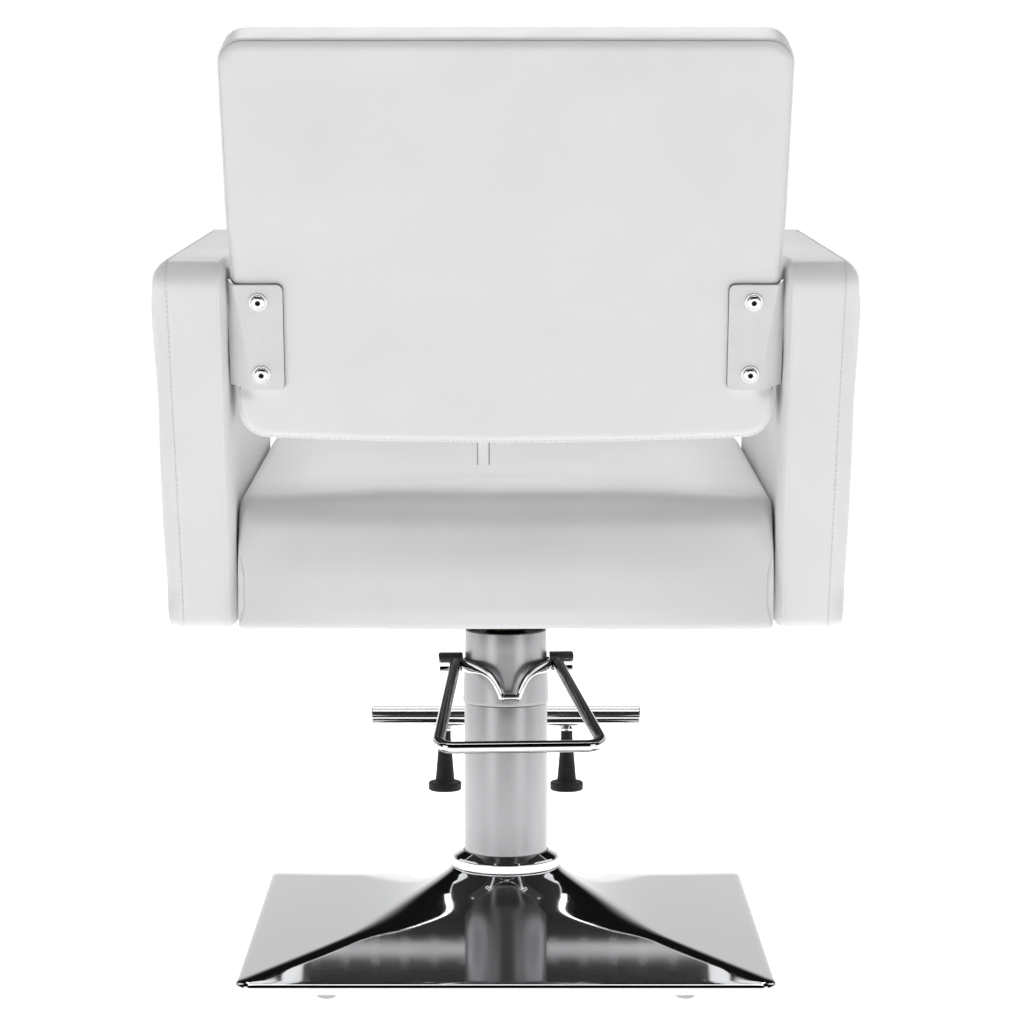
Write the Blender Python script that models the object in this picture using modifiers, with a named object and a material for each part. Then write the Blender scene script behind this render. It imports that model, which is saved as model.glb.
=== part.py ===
"""Styling chair on a hydraulic pump: a padded seat, two padded arms and a leaning back on a square base.

Metres, +Z up.  The origin is on the floor under the pump's axis.  The sitter faces -Y, so the back and
the pump pedal are at +Y and the footrest is at -Y.  Each function makes one physical piece, or one set of
equal pieces.
"""
import math

import bmesh
import bpy
from mathutils import Matrix, Vector

GAP = 0.0003                     # clearance between pieces that touch

# base
BASE_HALF = 0.245
BASE_CORNER_R = 0.015
RIM_BOTTOM_Z, RIM_TOP_Z = 0.009, 0.019
COVER_THICKNESS = 0.0022
COVER_SLOPE = 0.19               # rise of the cover per metre towards the middle
FLARE_HEIGHT, FLARE_REACH = 0.022, 0.030
NECK_R = 0.052
BASE_PLATE_HALF = 0.236
BASE_PLATE_Z = (0.0095, 0.0165)
BASE_PLATE_CORNER_R = 0.012
GLIDE_R = 0.010
GLIDE_X, GLIDE_Y = 0.163, 0.216

# pump
PUMP_TURN = math.radians(4)      # the pump stands turned by this about its axis
FLANGE_R, FLANGE_BOLT_R = 0.075, 0.060
FLANGE_Z = (0.0168, 0.0248)
FLANGE_SHANK_R, FLANGE_HOLE_R, FLANGE_SHANK_FOOT_Z = 0.0040, 0.0044, 0.0105
FLANGE_HEAD_R, FLANGE_HEAD_H = 0.0065, 0.0055
COLLAR_R = 0.0517
COLLAR_Z = (0.0781, 0.0875, 0.0930)
TUBE_R, TUBE_WALL = 0.040, 0.0028
TUBE_TOP_Z = 0.2380
SLEEVE_FOOT_R, SLEEVE_TOP_R = 0.0415, 0.0390
SLEEVE_BORE_R, SLEEVE_MOUTH_R = 0.0345, 0.0366
SLEEVE_TOP_Z, SLEEVE_MOUTH_Z = 0.3066, 0.3020
VALVE_BLOCK_Z = (0.2125, 0.2375)
BUSH_Z = (0.2895, 0.3017)
RAM_R, SPIGOT_R = 0.0140, 0.0120
RAM_Z = (0.0600, 0.3080, 0.3330)
PISTON_R = 0.0335
PISTON_Z = (0.0450, 0.0597)
GROOVE_DEPTH, GROOVE_SHOULDER, SEAL_R = 0.0030, 0.0045, 0.0355
WASHER_R = 0.0200
WASHER_Z = (0.3083, 0.3150)
PLUNGER_X, PLUNGER_Y = 0.0222, 0.0145
PLUNGER_R, PLUNGER_HEAD_R = 0.0030, 0.0058
PLUNGER_Z = (0.2190, 0.2600, 0.2640)
SPRING_COILS, SPRING_R, SPRING_WIRE_R = 5, 0.0047, 0.0006

# pedal, in its hinge's own frame but for the first
PEDAL_Z = 0.277                  # height of the hinge axis
EYE_R = 0.0085
EYE_X = (0.0418, 0.0615)
SHAFT_R = 0.0040
ROD_R = 0.0056
ROD_TOP = (0.0495, 0.0125, -0.0010)
LOOP_CORNER = (0.0765, 0.1920, -0.0505)
LOOP_CORNER_R = 0.014
YOKE_HALF_WIDTH, YOKE_DEPTH, YOKE_HALF_THICKNESS = 0.0430, 0.0555, 0.0015
YOKE_SPAN, YOKE_DIP, YOKE_DIP_SHARE = math.radians(84), 0.0260, 0.20
LEVER_X = (-0.0265, -0.0180)
LEVER_R, LEVER_TIP_R, LEVER_TIP_Y, LEVER_TIP_DROP = 0.0060, 0.0050, 0.0160, 0.0075
SHAFT_INNER_X = 0.0268

# seat
HUB_R, HUB_BORE_R = 0.0260, 0.0124
HUB_Z = (0.3153, 0.3337)
MOUNT_PLATE_Z = (0.3340, 0.3399)
MOUNT_PLATE_X, MOUNT_PLATE_Y = 0.100, (-0.140, 0.100)
MOUNT_BOLT_X, MOUNT_BOLT_Y = 0.080, (-0.120, 0.080)
MOUNT_SHANK_R, MOUNT_HOLE_R, MOUNT_SHANK_TOP_Z = 0.0030, 0.0036, 0.3550
MOUNT_HEAD_R, MOUNT_HEAD_H = 0.0060, 0.0045
LINING_Z = (0.3402, 0.3412)
LINING_X, LINING_Y = 0.205, (-0.225, 0.198)
SEAT_BOARD_Z = (0.3415, 0.3565)
SEAT_BOARD_X, SEAT_BOARD_Y = 0.2240, (-0.238, 0.214)
SEAT_X = 0.2408
SEAT_Y = (-0.262, 0.230)
SEAT_BOTTOM_Z, SEAT_FRONT_Z, SEAT_REAR_Z = 0.340, 0.472, 0.462
SEAT_CORNER_R = (0.011, 0.011, 0.024, 0.034)
SEAT_EDGE_R = 0.010

# arms
ARM_INNER_X, ARM_OUTER_X = 0.2415, 0.3120
ARM_FOOT_OUTER_X = 0.3065
ARM_OUTLINE = ((-0.205, 0.339), (0.207, 0.339), (0.2985, 0.6690), (-0.225, 0.6905))
ARM_CORNER_R = (0.020, 0.013, 0.020, 0.030)
ARM_EDGE_R = 0.011
ARM_BOARD_X = (0.2650, 0.2830)
ARM_BOARD_Y = (-0.110, 0.170)
ARM_BOARD_TOP_Z = 0.600

# back, in its own frame: x across, y up the panel, z out of the rear face
BACK_FOOT = (0.0, 0.250, 0.508)
BACK_LEAN = math.radians(14.6)
BACK_OUTLINE = ((0.236, 0.000), (0.2400, 0.178), (0.2460, 0.215), (0.2460, 0.362))
BACK_CORNER_R = (0.040, 0.060, 0.060, 0.028)
BACK_THICKNESS, BACK_EDGE_R = 0.078, 0.020
BACK_BOARD_INSET = 0.018
BACK_BOARD_Z = (-0.0165, -0.0045)
BACK_PANEL_Z = (-0.0042, -0.0005)
BRACKET_X, BRACKET_Y = 0.194, (0.0505, 0.1465)
BRACKET_FOLD_X = (0.2180, 0.2280)
BRACKET_THICKNESS, BRACKET_LEG_Z = 0.0030, -0.0040
BRACKET_BOLTS = (0.0650, 0.1310)
BRACKET_BOLT_X = (0.2140, 0.2155)
BOLT_SHANK_R, BOLT_HEAD_R, BOLT_HEAD_H, BOLT_FOOT_Z = 0.0030, 0.0080, 0.0042, -0.0120
TAG_X, TAG_HEIGHT, TAG_Z = (-0.0255, -0.0150), 0.0355, (-0.0450, -0.0444)

# footrest
STEM_R, STEM_Z = 0.0125, 0.3172
SOCKET_R, SOCKET_BORE_R = 0.0165, 0.0129
SOCKET_Y = (-0.190, -0.105)
SCREW_Y, SCREW_R, SCREW_HOLE_R = -0.170, 0.0030, 0.0034
SCREW_HEAD_R, SCREW_HEAD_Z = 0.0085, (0.2830, 0.2920)
BAR_Y, BAR_Z = -0.328, 0.1693
BAR_R, BAR_HALF = 0.0110, 0.14325
BUMPER_X = 0.065
BUMPER_BOTTOM_Z = 0.0902
BUMPER_NECK_R, BUMPER_WAIST_R, BUMPER_FOOT_R, BUMPER_FOOT_H = 0.0060, 0.01025, 0.0175, 0.009
FERRULE_R, FERRULE_H = 0.0082, 0.006

CHAIR = bpy.data.collections.new("styling_chair")
CUTTERS = bpy.data.collections.new("cutters")

# colour, roughness, metallic
FINISHES = {
    "chrome": ((0.78, 0.79, 0.81), 0.08, 1.0),
    "satin_tube": ((0.66, 0.67, 0.68), 0.35, 1.0),
    "steel": ((0.45, 0.46, 0.48), 0.45, 1.0),
    "brass": ((0.70, 0.55, 0.28), 0.35, 1.0),
    "black_plastic": ((0.025, 0.025, 0.028), 0.5, 0.0),
    "rubber": ((0.03, 0.03, 0.032), 0.8, 0.0),
    "glide_plastic": ((0.45, 0.46, 0.48), 0.35, 0.0),
    "plywood": ((0.62, 0.46, 0.30), 0.65, 0.0),
    "lining": ((0.03, 0.03, 0.03), 0.95, 0.0),
    "foam_pad": ((0.72, 0.72, 0.73), 0.5, 0.0),
    "upholstery": ((0.72, 0.72, 0.73), 0.45, 0.0),
    "white_paint": ((0.80, 0.80, 0.80), 0.35, 0.0),
    "label_cloth": ((0.85, 0.85, 0.84), 0.9, 0.0),
}


def clear_scene():
    for old in list(bpy.data.objects):
        bpy.data.objects.remove(old, do_unlink=True)
    for collection in (CHAIR, CUTTERS):
        bpy.context.scene.collection.children.link(collection)


def finish(name):
    """The named material, made the first time it is asked for."""
    made = bpy.data.materials.get(name)
    if made:
        return made
    colour, roughness, metallic = FINISHES[name]
    made = bpy.data.materials.new(name)
    made.use_nodes = True
    shader = made.node_tree.nodes["Principled BSDF"]
    shader.inputs["Base Color"].default_value = (*colour, 1.0)
    shader.inputs["Roughness"].default_value = roughness
    shader.inputs["Metallic"].default_value = metallic
    return made


def place(name, data, slot, collection=None):
    """Put mesh or curve data in the scene as the piece called name."""
    piece = bpy.data.objects.new(name, data)
    (collection or CHAIR).objects.link(piece)
    if slot:
        data.materials.clear()
        data.materials.append(finish(slot))
    if isinstance(data, bpy.types.Mesh) and slot:
        data.shade_smooth()
        data.set_sharp_from_angle(angle=math.radians(35))
    return piece


def mesh_from(build, name):
    """A mesh made by build(bm), with its normals outwards."""
    bm = bmesh.new()
    build(bm)
    bmesh.ops.recalc_face_normals(bm, faces=bm.faces)
    mesh = bpy.data.meshes.new(name)
    bm.to_mesh(mesh)
    bm.free()
    return mesh


def block(name, low, high, slot):
    """A box between two corners."""
    low, high = Vector(low), Vector(high)
    size = Matrix.Diagonal((*(high - low), 1.0))

    def build(bm):
        bmesh.ops.create_cube(bm, size=1.0, matrix=Matrix.Translation((low + high) / 2) @ size)

    return place(name, mesh_from(build, name), slot, None if slot else CUTTERS)


def rod_mesh(name, rods, segments):
    """Straight cylinders, each (start, end, radius), in one mesh."""
    def build(bm):
        for start, end, radius in rods:
            start, end = Vector(start), Vector(end)
            turn = (end - start).to_track_quat("Z", "Y").to_matrix().to_4x4()
            bmesh.ops.create_cone(bm, cap_ends=True, segments=segments, radius1=radius, radius2=radius,
                                  depth=(end - start).length,
                                  matrix=Matrix.Translation((start + end) / 2) @ turn)
    return mesh_from(build, name)


def cylinder(name, start, end, radius, slot, segments=24):
    return place(name, rod_mesh(name, [(start, end, radius)], segments), slot)


def turned(name, profile, slot, segments=32, closed=False, at=(0, 0, 0)):
    """A turned piece.  profile runs down its outer side as (radius, height); closed makes a ring."""
    mesh = bpy.data.meshes.new(name)
    edges = [(i, i + 1) for i in range(len(profile) - 1)]
    if closed:
        edges.append((len(profile) - 1, 0))
    mesh.from_pydata([(r, 0.0, z) for r, z in profile], edges, [])
    piece = place(name, mesh, slot)
    piece.location = at
    screw = piece.modifiers.new("turn", "SCREW")
    screw.steps = screw.render_steps = segments
    screw.use_merge_vertices = True
    screw.merge_threshold = 0.00001
    screw.use_smooth_shade = True
    return piece


def ring(name, outer_r, inner_r, low, high, slot, chamfer=0.0, segments=32):
    """A plain turned ring with chamfered outer edges."""
    profile = [(inner_r, high), (outer_r - chamfer, high)]
    if chamfer:
        profile += [(outer_r, high - chamfer), (outer_r, low + chamfer)]
    profile += [(outer_r - chamfer, low), (inner_r, low)]
    return turned(name, profile, slot, segments, closed=True)


def arc_corner(before, corner, after, radius, steps):
    """Points of the round that replaces the corner between two straight stretches."""
    to_before = (before - corner).normalized()
    to_after = (after - corner).normalized()
    half = to_before.angle(to_after) / 2
    centre = corner + (to_before + to_after).normalized() * (radius / math.sin(half))
    first = corner + to_before * (radius / math.tan(half)) - centre
    last = corner + to_after * (radius / math.tan(half)) - centre
    return [centre + first.slerp(last, step / steps).normalized() * radius for step in range(steps + 1)]


def rounded_path(corners, radii, steps=4, closed=False):
    """A line through the corners, each rounded with its own radius."""
    corners = [Vector(corner) for corner in corners]
    count = len(corners)
    points = []
    for i, corner in enumerate(corners):
        if not closed and i in (0, count - 1):
            points.append(corner)
        else:
            before, after = corners[i - 1], corners[(i + 1) % count]
            points += arc_corner(before, corner, after, radii[i], steps)
    return points


def curve_points(name, points, dimensions, cyclic=False):
    curve = bpy.data.curves.new(name, "CURVE")
    curve.dimensions = dimensions
    spline = curve.splines.new("POLY")
    spline.points.add(len(points) - 1)
    for spot, point in zip(spline.points, points):
        spot.co = (*point, 1.0)
    spline.use_cyclic_u = cyclic
    return curve


def pipe(name, points, radius, slot, resolution=3):
    """A round rod or tube along the points, closed at its ends."""
    curve = curve_points(name, points, "3D")
    curve.bevel_depth = radius
    curve.bevel_resolution = resolution
    curve.use_fill_caps = True
    return place(name, curve, slot)


def outline_mesh(name, points, half_thickness, edge=0.0):
    """A flat outline given a thickness both ways and rounded edges, as a mesh with welded seams."""
    curve = curve_points(name, points, "2D", cyclic=True)
    curve.fill_mode = "BOTH"
    curve.extrude = half_thickness - edge
    curve.bevel_depth = edge
    curve.bevel_resolution = 1
    curve.offset = -edge
    shape = bpy.data.objects.new(name, curve)
    CUTTERS.objects.link(shape)
    bpy.context.view_layer.update()
    mesh = bpy.data.meshes.new_from_object(shape.evaluated_get(bpy.context.evaluated_depsgraph_get()))
    bpy.data.objects.remove(shape)
    bm = bmesh.new()
    bm.from_mesh(mesh)
    bmesh.ops.remove_doubles(bm, verts=bm.verts, dist=0.00001)
    bmesh.ops.recalc_face_normals(bm, faces=bm.faces)
    bm.to_mesh(mesh)
    bm.free()
    return mesh


def boolean(piece, other, operation="DIFFERENCE"):
    """Cut or join piece with other, which becomes a hidden guide."""
    for collection in list(other.users_collection):
        collection.objects.unlink(other)
    CUTTERS.objects.link(other)
    other.hide_render = True
    other.display_type = "WIRE"
    mod = piece.modifiers.new("bore" if operation == "DIFFERENCE" else "weld", "BOOLEAN")
    mod.operation = operation
    mod.object = other
    mod.solver = "EXACT"
    return piece


def bores(piece, name, rods, frame=None, segments=16):
    """Round holes through a piece, each (start, end, radius), in the given frame."""
    cutter = place(name, rod_mesh(name, rods, segments), None, CUTTERS)
    if frame:
        cutter.parent = frame
    return boolean(piece, cutter)


def empty(name, location=(0, 0, 0), rotation=(0, 0, 0)):
    guide = bpy.data.objects.new(name, None)
    guide.location = location
    guide.rotation_euler = rotation
    CHAIR.objects.link(guide)
    return guide


# ---------------------------------------------------------------- base

def cover_height(reach):
    """Height of the base cover where its level line crosses an axis at this reach."""
    reach = max(reach, NECK_R)
    return (RIM_TOP_Z + COVER_SLOPE * (BASE_HALF - reach)
            + FLARE_HEIGHT * math.exp((NECK_R - reach) / FLARE_REACH))


def rounded_square_point(half, corner_r, angle):
    """Where a ray at this angle leaves a square with rounded corners."""
    direction = Vector((math.cos(angle), math.sin(angle)))
    across = direction / max(abs(direction.x), abs(direction.y)) * half
    inner = half - corner_r
    if min(abs(across.x), abs(across.y)) <= inner:
        return across
    centre = Vector((math.copysign(inner, across.x), math.copysign(inner, across.y)))
    along = direction.dot(centre)
    return direction * (along + math.sqrt(along ** 2 - centre.length_squared + corner_r ** 2))


def make_base_cover():
    """The pressed cover: level lines go from a circle at the neck to a square at the rim."""
    quarter = (0, 12, 24, 34, 40, 43.2, 45, 46.8, 50, 56, 66, 78)
    angles = [math.radians(turn + step) for turn in (0, 90, 180, 270) for step in quarter]
    reaches = (0.0425, 0.052, 0.060, 0.070, 0.085, 0.105, 0.135, 0.175, 0.215, 0.2415)
    levels = [(reach, cover_height(reach)) for reach in reaches]
    levels += [(BASE_HALF, RIM_TOP_Z - 0.0035), (BASE_HALF, RIM_BOTTOM_Z)]

    def build(bm):
        rings = []
        for reach, height in levels:
            square = min(1.0, max(0.0, (reach - NECK_R) / 0.10))
            corner_r = reach * (1 - square) + BASE_CORNER_R * square
            spots = [rounded_square_point(reach, corner_r, angle) for angle in angles]
            rings.append([bm.verts.new((*spot, height)) for spot in spots])
        for upper, lower in zip(rings, rings[1:]):
            for i in range(len(angles)):
                j = (i + 1) % len(angles)
                bm.faces.new((upper[i], lower[i], lower[j], upper[j]))

    cover = place("base_cover", mesh_from(build, "base_cover"), "chrome")
    wall = cover.modifiers.new("wall", "SOLIDIFY")
    wall.thickness = COVER_THICKNESS
    wall.offset = -1.0
    return cover


def flange_bolt_rods(radius, low, high):
    spots = [math.radians(45 + 90 * i) for i in range(4)]
    return [((FLANGE_BOLT_R * math.cos(a), FLANGE_BOLT_R * math.sin(a), low),
             (FLANGE_BOLT_R * math.cos(a), FLANGE_BOLT_R * math.sin(a), high), radius) for a in spots]


def make_base():
    make_base_cover()
    holes = flange_bolt_rods(FLANGE_HOLE_R, 0.0, 0.05)
    half = BASE_PLATE_HALF
    outline = rounded_path([(-half, -half, 0), (half, -half, 0), (half, half, 0), (-half, half, 0)],
                           [BASE_PLATE_CORNER_R] * 4, closed=True)
    plate = place("base_plate", outline_mesh("base_plate", outline, (BASE_PLATE_Z[1] - BASE_PLATE_Z[0]) / 2),
                  "steel")
    plate.location.z = sum(BASE_PLATE_Z) / 2
    bores(plate, "base_plate_holes", holes)
    for i, (x, y) in enumerate(((1, 1), (-1, 1), (-1, -1), (1, -1)), 1):
        top = BASE_PLATE_Z[0] - GAP
        turned(f"base_glide_{i}", [(0, top), (GLIDE_R, top), (GLIDE_R, 0.0045), (0.0090, 0.0018),
                                   (0.0070, 0.0), (0, 0)],
               "glide_plastic", 20, at=(x * GLIDE_X, y * GLIDE_Y, 0))


# ---------------------------------------------------------------- pump

def make_pump():
    flange = turned("pump_flange", [(0, FLANGE_Z[1]), (FLANGE_R, FLANGE_Z[1]), (FLANGE_R, FLANGE_Z[0]),
                                    (0, FLANGE_Z[0])], "steel")
    bores(flange, "flange_holes", flange_bolt_rods(FLANGE_HOLE_R, 0.0, 0.05))
    head_z = FLANGE_Z[1] + GAP
    rods = flange_bolt_rods(FLANGE_SHANK_R, FLANGE_SHANK_FOOT_Z, head_z + FLANGE_HEAD_H)
    for i, (low, high, radius) in enumerate(rods, 1):
        bolt = cylinder(f"flange_bolt_{i}", low, high, radius, "steel", 12)
        head = cylinder(f"flange_bolt_head_{i}", (low[0], low[1], head_z), high, FLANGE_HEAD_R, "steel", 6)
        boolean(bolt, head, "UNION")
    turned("pump_collar", [(TUBE_R + GAP, COLLAR_Z[2]), (TUBE_R + 0.0012, COLLAR_Z[2]),
                           (COLLAR_R - 0.0010, COLLAR_Z[1] + 0.0006), (COLLAR_R, COLLAR_Z[1] - 0.0008),
                           (COLLAR_R, COLLAR_Z[0]), (TUBE_R + GAP, COLLAR_Z[0])],
           "chrome", 40, closed=True)
    ring("pump_tube", TUBE_R, TUBE_R - TUBE_WALL, FLANGE_Z[1] + GAP, TUBE_TOP_Z, "satin_tube", segments=40)
    foot_z = TUBE_TOP_Z + GAP
    sleeve = turned("pump_sleeve", [(SLEEVE_MOUTH_R, SLEEVE_TOP_Z), (SLEEVE_TOP_R - 0.0008, SLEEVE_TOP_Z),
                                    (SLEEVE_TOP_R, SLEEVE_TOP_Z - 0.0012), (SLEEVE_FOOT_R, foot_z + 0.0008),
                                    (SLEEVE_FOOT_R - 0.0008, foot_z), (SLEEVE_BORE_R, foot_z),
                                    (SLEEVE_BORE_R, SLEEVE_MOUTH_Z), (SLEEVE_MOUTH_R, SLEEVE_MOUTH_Z)],
                    "satin_tube", 40, closed=True)
    sleeve.rotation_euler.z = PUMP_TURN
    turn = empty("pump_turn", rotation=(0, 0, PUMP_TURN))
    bores(sleeve, "sleeve_holes", [((-0.06, 0, PEDAL_Z), (0.06, 0, PEDAL_Z), SHAFT_R + 2 * GAP)], turn)
    ring("sleeve_cap", SLEEVE_MOUTH_R - GAP, RAM_R + 0.0006, SLEEVE_MOUTH_Z + GAP, SLEEVE_TOP_Z - 0.0006,
         "black_plastic")
    ring("ram_bush", SLEEVE_BORE_R - GAP, RAM_R + GAP, *BUSH_Z, "brass")
    valves = ring("valve_block", TUBE_R - TUBE_WALL - GAP, RAM_R + GAP, *VALVE_BLOCK_Z, "steel")
    bores(valves, "plunger_bore", [((-PLUNGER_X, PLUNGER_Y, 0.20), (-PLUNGER_X, PLUNGER_Y, 0.25),
                                    PLUNGER_R + GAP)], turn)
    make_plunger(turn)
    make_ram()


def make_plunger(turn):
    """The small pump plunger that the pedal's lever pushes down, and its return spring."""
    spot = (-PLUNGER_X, PLUNGER_Y, 0)
    foot, neck, top = PLUNGER_Z
    plunger = turned("pump_plunger", [(0, top), (PLUNGER_HEAD_R, top), (PLUNGER_HEAD_R, neck),
                                      (PLUNGER_R, neck), (PLUNGER_R, foot), (0, foot)], "steel", 16, at=spot)
    plunger.parent = turn
    low, high = VALVE_BLOCK_Z[1] + GAP + SPRING_WIRE_R, neck - GAP - SPRING_WIRE_R
    steps_per_coil = 10
    steps = SPRING_COILS * steps_per_coil
    points = []
    for i in range(steps + 1):
        angle = 2 * math.pi * i / steps_per_coil
        rise = low + (high - low) * i / steps
        points.append((SPRING_R * math.cos(angle), SPRING_R * math.sin(angle), rise))
    spring = pipe("plunger_spring", points, SPRING_WIRE_R, "steel", 1)
    spring.location = spot
    spring.parent = turn


def make_ram():
    low, shoulder, top = RAM_Z
    turned("ram_rod", [(0, top), (SPIGOT_R - 0.001, top), (SPIGOT_R, top - 0.001), (SPIGOT_R, shoulder),
                       (RAM_R, shoulder), (RAM_R, low), (0, low)], "chrome", 32)
    low, high = PISTON_Z
    groove_r, groove = PISTON_R - GROOVE_DEPTH, (low + GROOVE_SHOULDER, high - GROOVE_SHOULDER)
    turned("ram_piston", [(0, high), (PISTON_R, high), (PISTON_R, groove[1]), (groove_r, groove[1]),
                          (groove_r, groove[0]), (PISTON_R, groove[0]), (PISTON_R, low), (0, low)], "steel")
    ring("piston_seal", SEAL_R, groove_r + GAP, groove[0] + GAP, groove[1] - GAP, "rubber")
    ring("thrust_washer", WASHER_R, HUB_BORE_R, *WASHER_Z, "brass", 0.0008)


# ---------------------------------------------------------------- pedal

def yoke_line(angle):
    """Centre of the yoke's strap and its half height, at an angle from straight behind."""
    side = abs(angle) / (math.pi / 2)
    drop = YOKE_DIP * math.exp(-(side / YOKE_DIP_SHARE) ** 1.35)
    half_height = 0.0030 + 0.0030 * min(1.0, side / 0.5)
    spot = Vector((YOKE_HALF_WIDTH * math.sin(angle), YOKE_DEPTH * math.cos(angle), -0.001 - drop))
    return spot, half_height


def make_pedal_yoke(hinge):
    """The strap that passes behind the sleeve and dips at its middle, between two eyes."""
    steps = 32

    def build(bm):
        loops = []
        for i in range(steps + 1):
            angle = YOKE_SPAN * (2 * i / steps - 1)
            spot, half_height = yoke_line(angle)
            out = Vector((math.sin(angle), math.cos(angle), 0))
            corners = ((1, 1), (1, -1), (-1, -1), (-1, 1))
            loops.append([bm.verts.new(spot + out * a * YOKE_HALF_THICKNESS + Vector((0, 0, b * half_height)))
                          for a, b in corners])
        for first, second in zip(loops, loops[1:]):
            for k in range(4):
                bm.faces.new((first[k], first[k - 1], second[k - 1], second[k]))
        bm.faces.new(loops[0])
        bm.faces.new(reversed(loops[-1]))

    yoke = place("pedal_yoke", mesh_from(build, "pedal_yoke"), "chrome")
    for side in (-1, 1):
        eye = cylinder(f"yoke_eye_{'left' if side > 0 else 'right'}", (side * EYE_X[0], 0, 0),
                       (side * EYE_X[1], 0, 0), EYE_R, "chrome", 24)
        eye.parent = hinge
        boolean(yoke, eye, "UNION")
    yoke.parent = hinge


def make_pedal():
    hinge = empty("pedal_hinge", (0, 0, PEDAL_Z), (0, 0, PUMP_TURN))
    make_pedal_yoke(hinge)
    x, y, z = ROD_TOP
    cx, cy, cz = LOOP_CORNER
    corners = [(x, y, z), (cx, cy, cz), (-cx, cy, cz), (-x, y, z)]
    path = rounded_path(corners, [0, LOOP_CORNER_R, LOOP_CORNER_R, 0], steps=5)
    pipe("pedal_loop", path, ROD_R, "chrome").parent = hinge
    for side, name in ((1, "left"), (-1, "right")):
        shaft = cylinder(f"pedal_shaft_{name}", (side * SHAFT_INNER_X, 0, 0), (side * (EYE_X[0] - GAP), 0, 0),
                         SHAFT_R, "steel", 16)
        shaft.parent = hinge
    low, high = LEVER_X
    lever = cylinder("pump_lever", (high, 0, 0), (low, 0, 0), LEVER_R, "steel", 16)
    tip = cylinder("pump_lever_tip", (high, LEVER_TIP_Y, -LEVER_TIP_DROP),
                   (low, LEVER_TIP_Y, -LEVER_TIP_DROP), LEVER_TIP_R, "steel", 16)
    half = LEVER_TIP_R - 0.001
    reach = math.hypot(LEVER_TIP_Y, LEVER_TIP_DROP)
    arm = block("pump_lever_arm", (low, -0.001, -half), (high, reach, half), None)
    arm.rotation_euler.x = -math.atan2(LEVER_TIP_DROP, LEVER_TIP_Y)
    for other in (tip, arm):
        other.parent = hinge
        boolean(lever, other, "UNION")
    lever.parent = hinge


# ---------------------------------------------------------------- seat

def mount_bolt_rods(radius, low, high):
    return [((x, y, low), (x, y, high), radius)
            for x in (-MOUNT_BOLT_X, MOUNT_BOLT_X) for y in MOUNT_BOLT_Y]


def make_seat():
    ring("seat_hub", HUB_R, HUB_BORE_R, *HUB_Z, "steel", 0.001)
    holes = mount_bolt_rods(MOUNT_HOLE_R, 0.30, 0.36)
    plate = block("seat_mount_plate", (-MOUNT_PLATE_X, MOUNT_PLATE_Y[0], MOUNT_PLATE_Z[0]),
                  (MOUNT_PLATE_X, MOUNT_PLATE_Y[1], MOUNT_PLATE_Z[1]), "steel")
    bores(plate, "plate_holes", holes)
    lining = block("seat_lining", (-LINING_X, LINING_Y[0], LINING_Z[0]), (LINING_X, LINING_Y[1], LINING_Z[1]),
                   "lining")
    bores(lining, "lining_holes", holes)
    board = block("seat_board", (-SEAT_BOARD_X, SEAT_BOARD_Y[0], SEAT_BOARD_Z[0]),
                  (SEAT_BOARD_X, SEAT_BOARD_Y[1], SEAT_BOARD_Z[1]), "plywood")
    bores(board, "board_holes", holes)
    head_z = MOUNT_PLATE_Z[0] - GAP
    rods = mount_bolt_rods(MOUNT_SHANK_R, head_z - MOUNT_HEAD_H, MOUNT_SHANK_TOP_Z)
    for i, (low, high, radius) in enumerate(rods, 1):
        bolt = cylinder(f"mount_bolt_{i}", low, high, radius, "steel", 12)
        head = cylinder(f"mount_bolt_head_{i}", low, (low[0], low[1], head_z), MOUNT_HEAD_R, "steel", 6)
        boolean(bolt, head, "UNION")
    make_seat_cushion()


def side_slab(name, outline, radii, low_x, high_x, edge, slot):
    """A pad with a side outline, given as (y, z) corners, made thick along x."""
    points = rounded_path([(y, z, 0) for y, z in outline], radii, closed=True)
    mesh = outline_mesh(name, points, abs(high_x - low_x) / 2, edge)
    upright = Matrix(((0, 0, 1, (low_x + high_x) / 2), (1, 0, 0, 0), (0, 1, 0, 0), (0, 0, 0, 1)))
    mesh.transform(upright)
    return place(name, mesh, slot)


def make_seat_cushion():
    outline = ((SEAT_Y[0], SEAT_BOTTOM_Z), (SEAT_Y[1], SEAT_BOTTOM_Z), (SEAT_Y[1], SEAT_REAR_Z),
               (SEAT_Y[0], SEAT_FRONT_Z))
    cushion = side_slab("seat_cushion", outline, SEAT_CORNER_R, -SEAT_X, SEAT_X, SEAT_EDGE_R, "foam_pad")
    room = 2 * GAP
    pocket = block("seat_pocket", (-SEAT_BOARD_X - room, SEAT_BOARD_Y[0] - room, 0.30),
                   (SEAT_BOARD_X + room, SEAT_BOARD_Y[1] + room, SEAT_BOARD_Z[1] + room), None)
    boolean(cushion, pocket)


# ---------------------------------------------------------------- arms

def lean_outer_face(mesh, side):
    """Bring the arm's outer face in towards its foot."""
    low, high = ARM_OUTLINE[0][1], ARM_OUTLINE[3][1]
    for vertex in mesh.vertices:
        if abs(vertex.co.x) > (ARM_INNER_X + ARM_OUTER_X) / 2:
            share = (high - vertex.co.z) / (high - low)
            vertex.co.x -= side * share * (ARM_OUTER_X - ARM_FOOT_OUTER_X)


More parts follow.
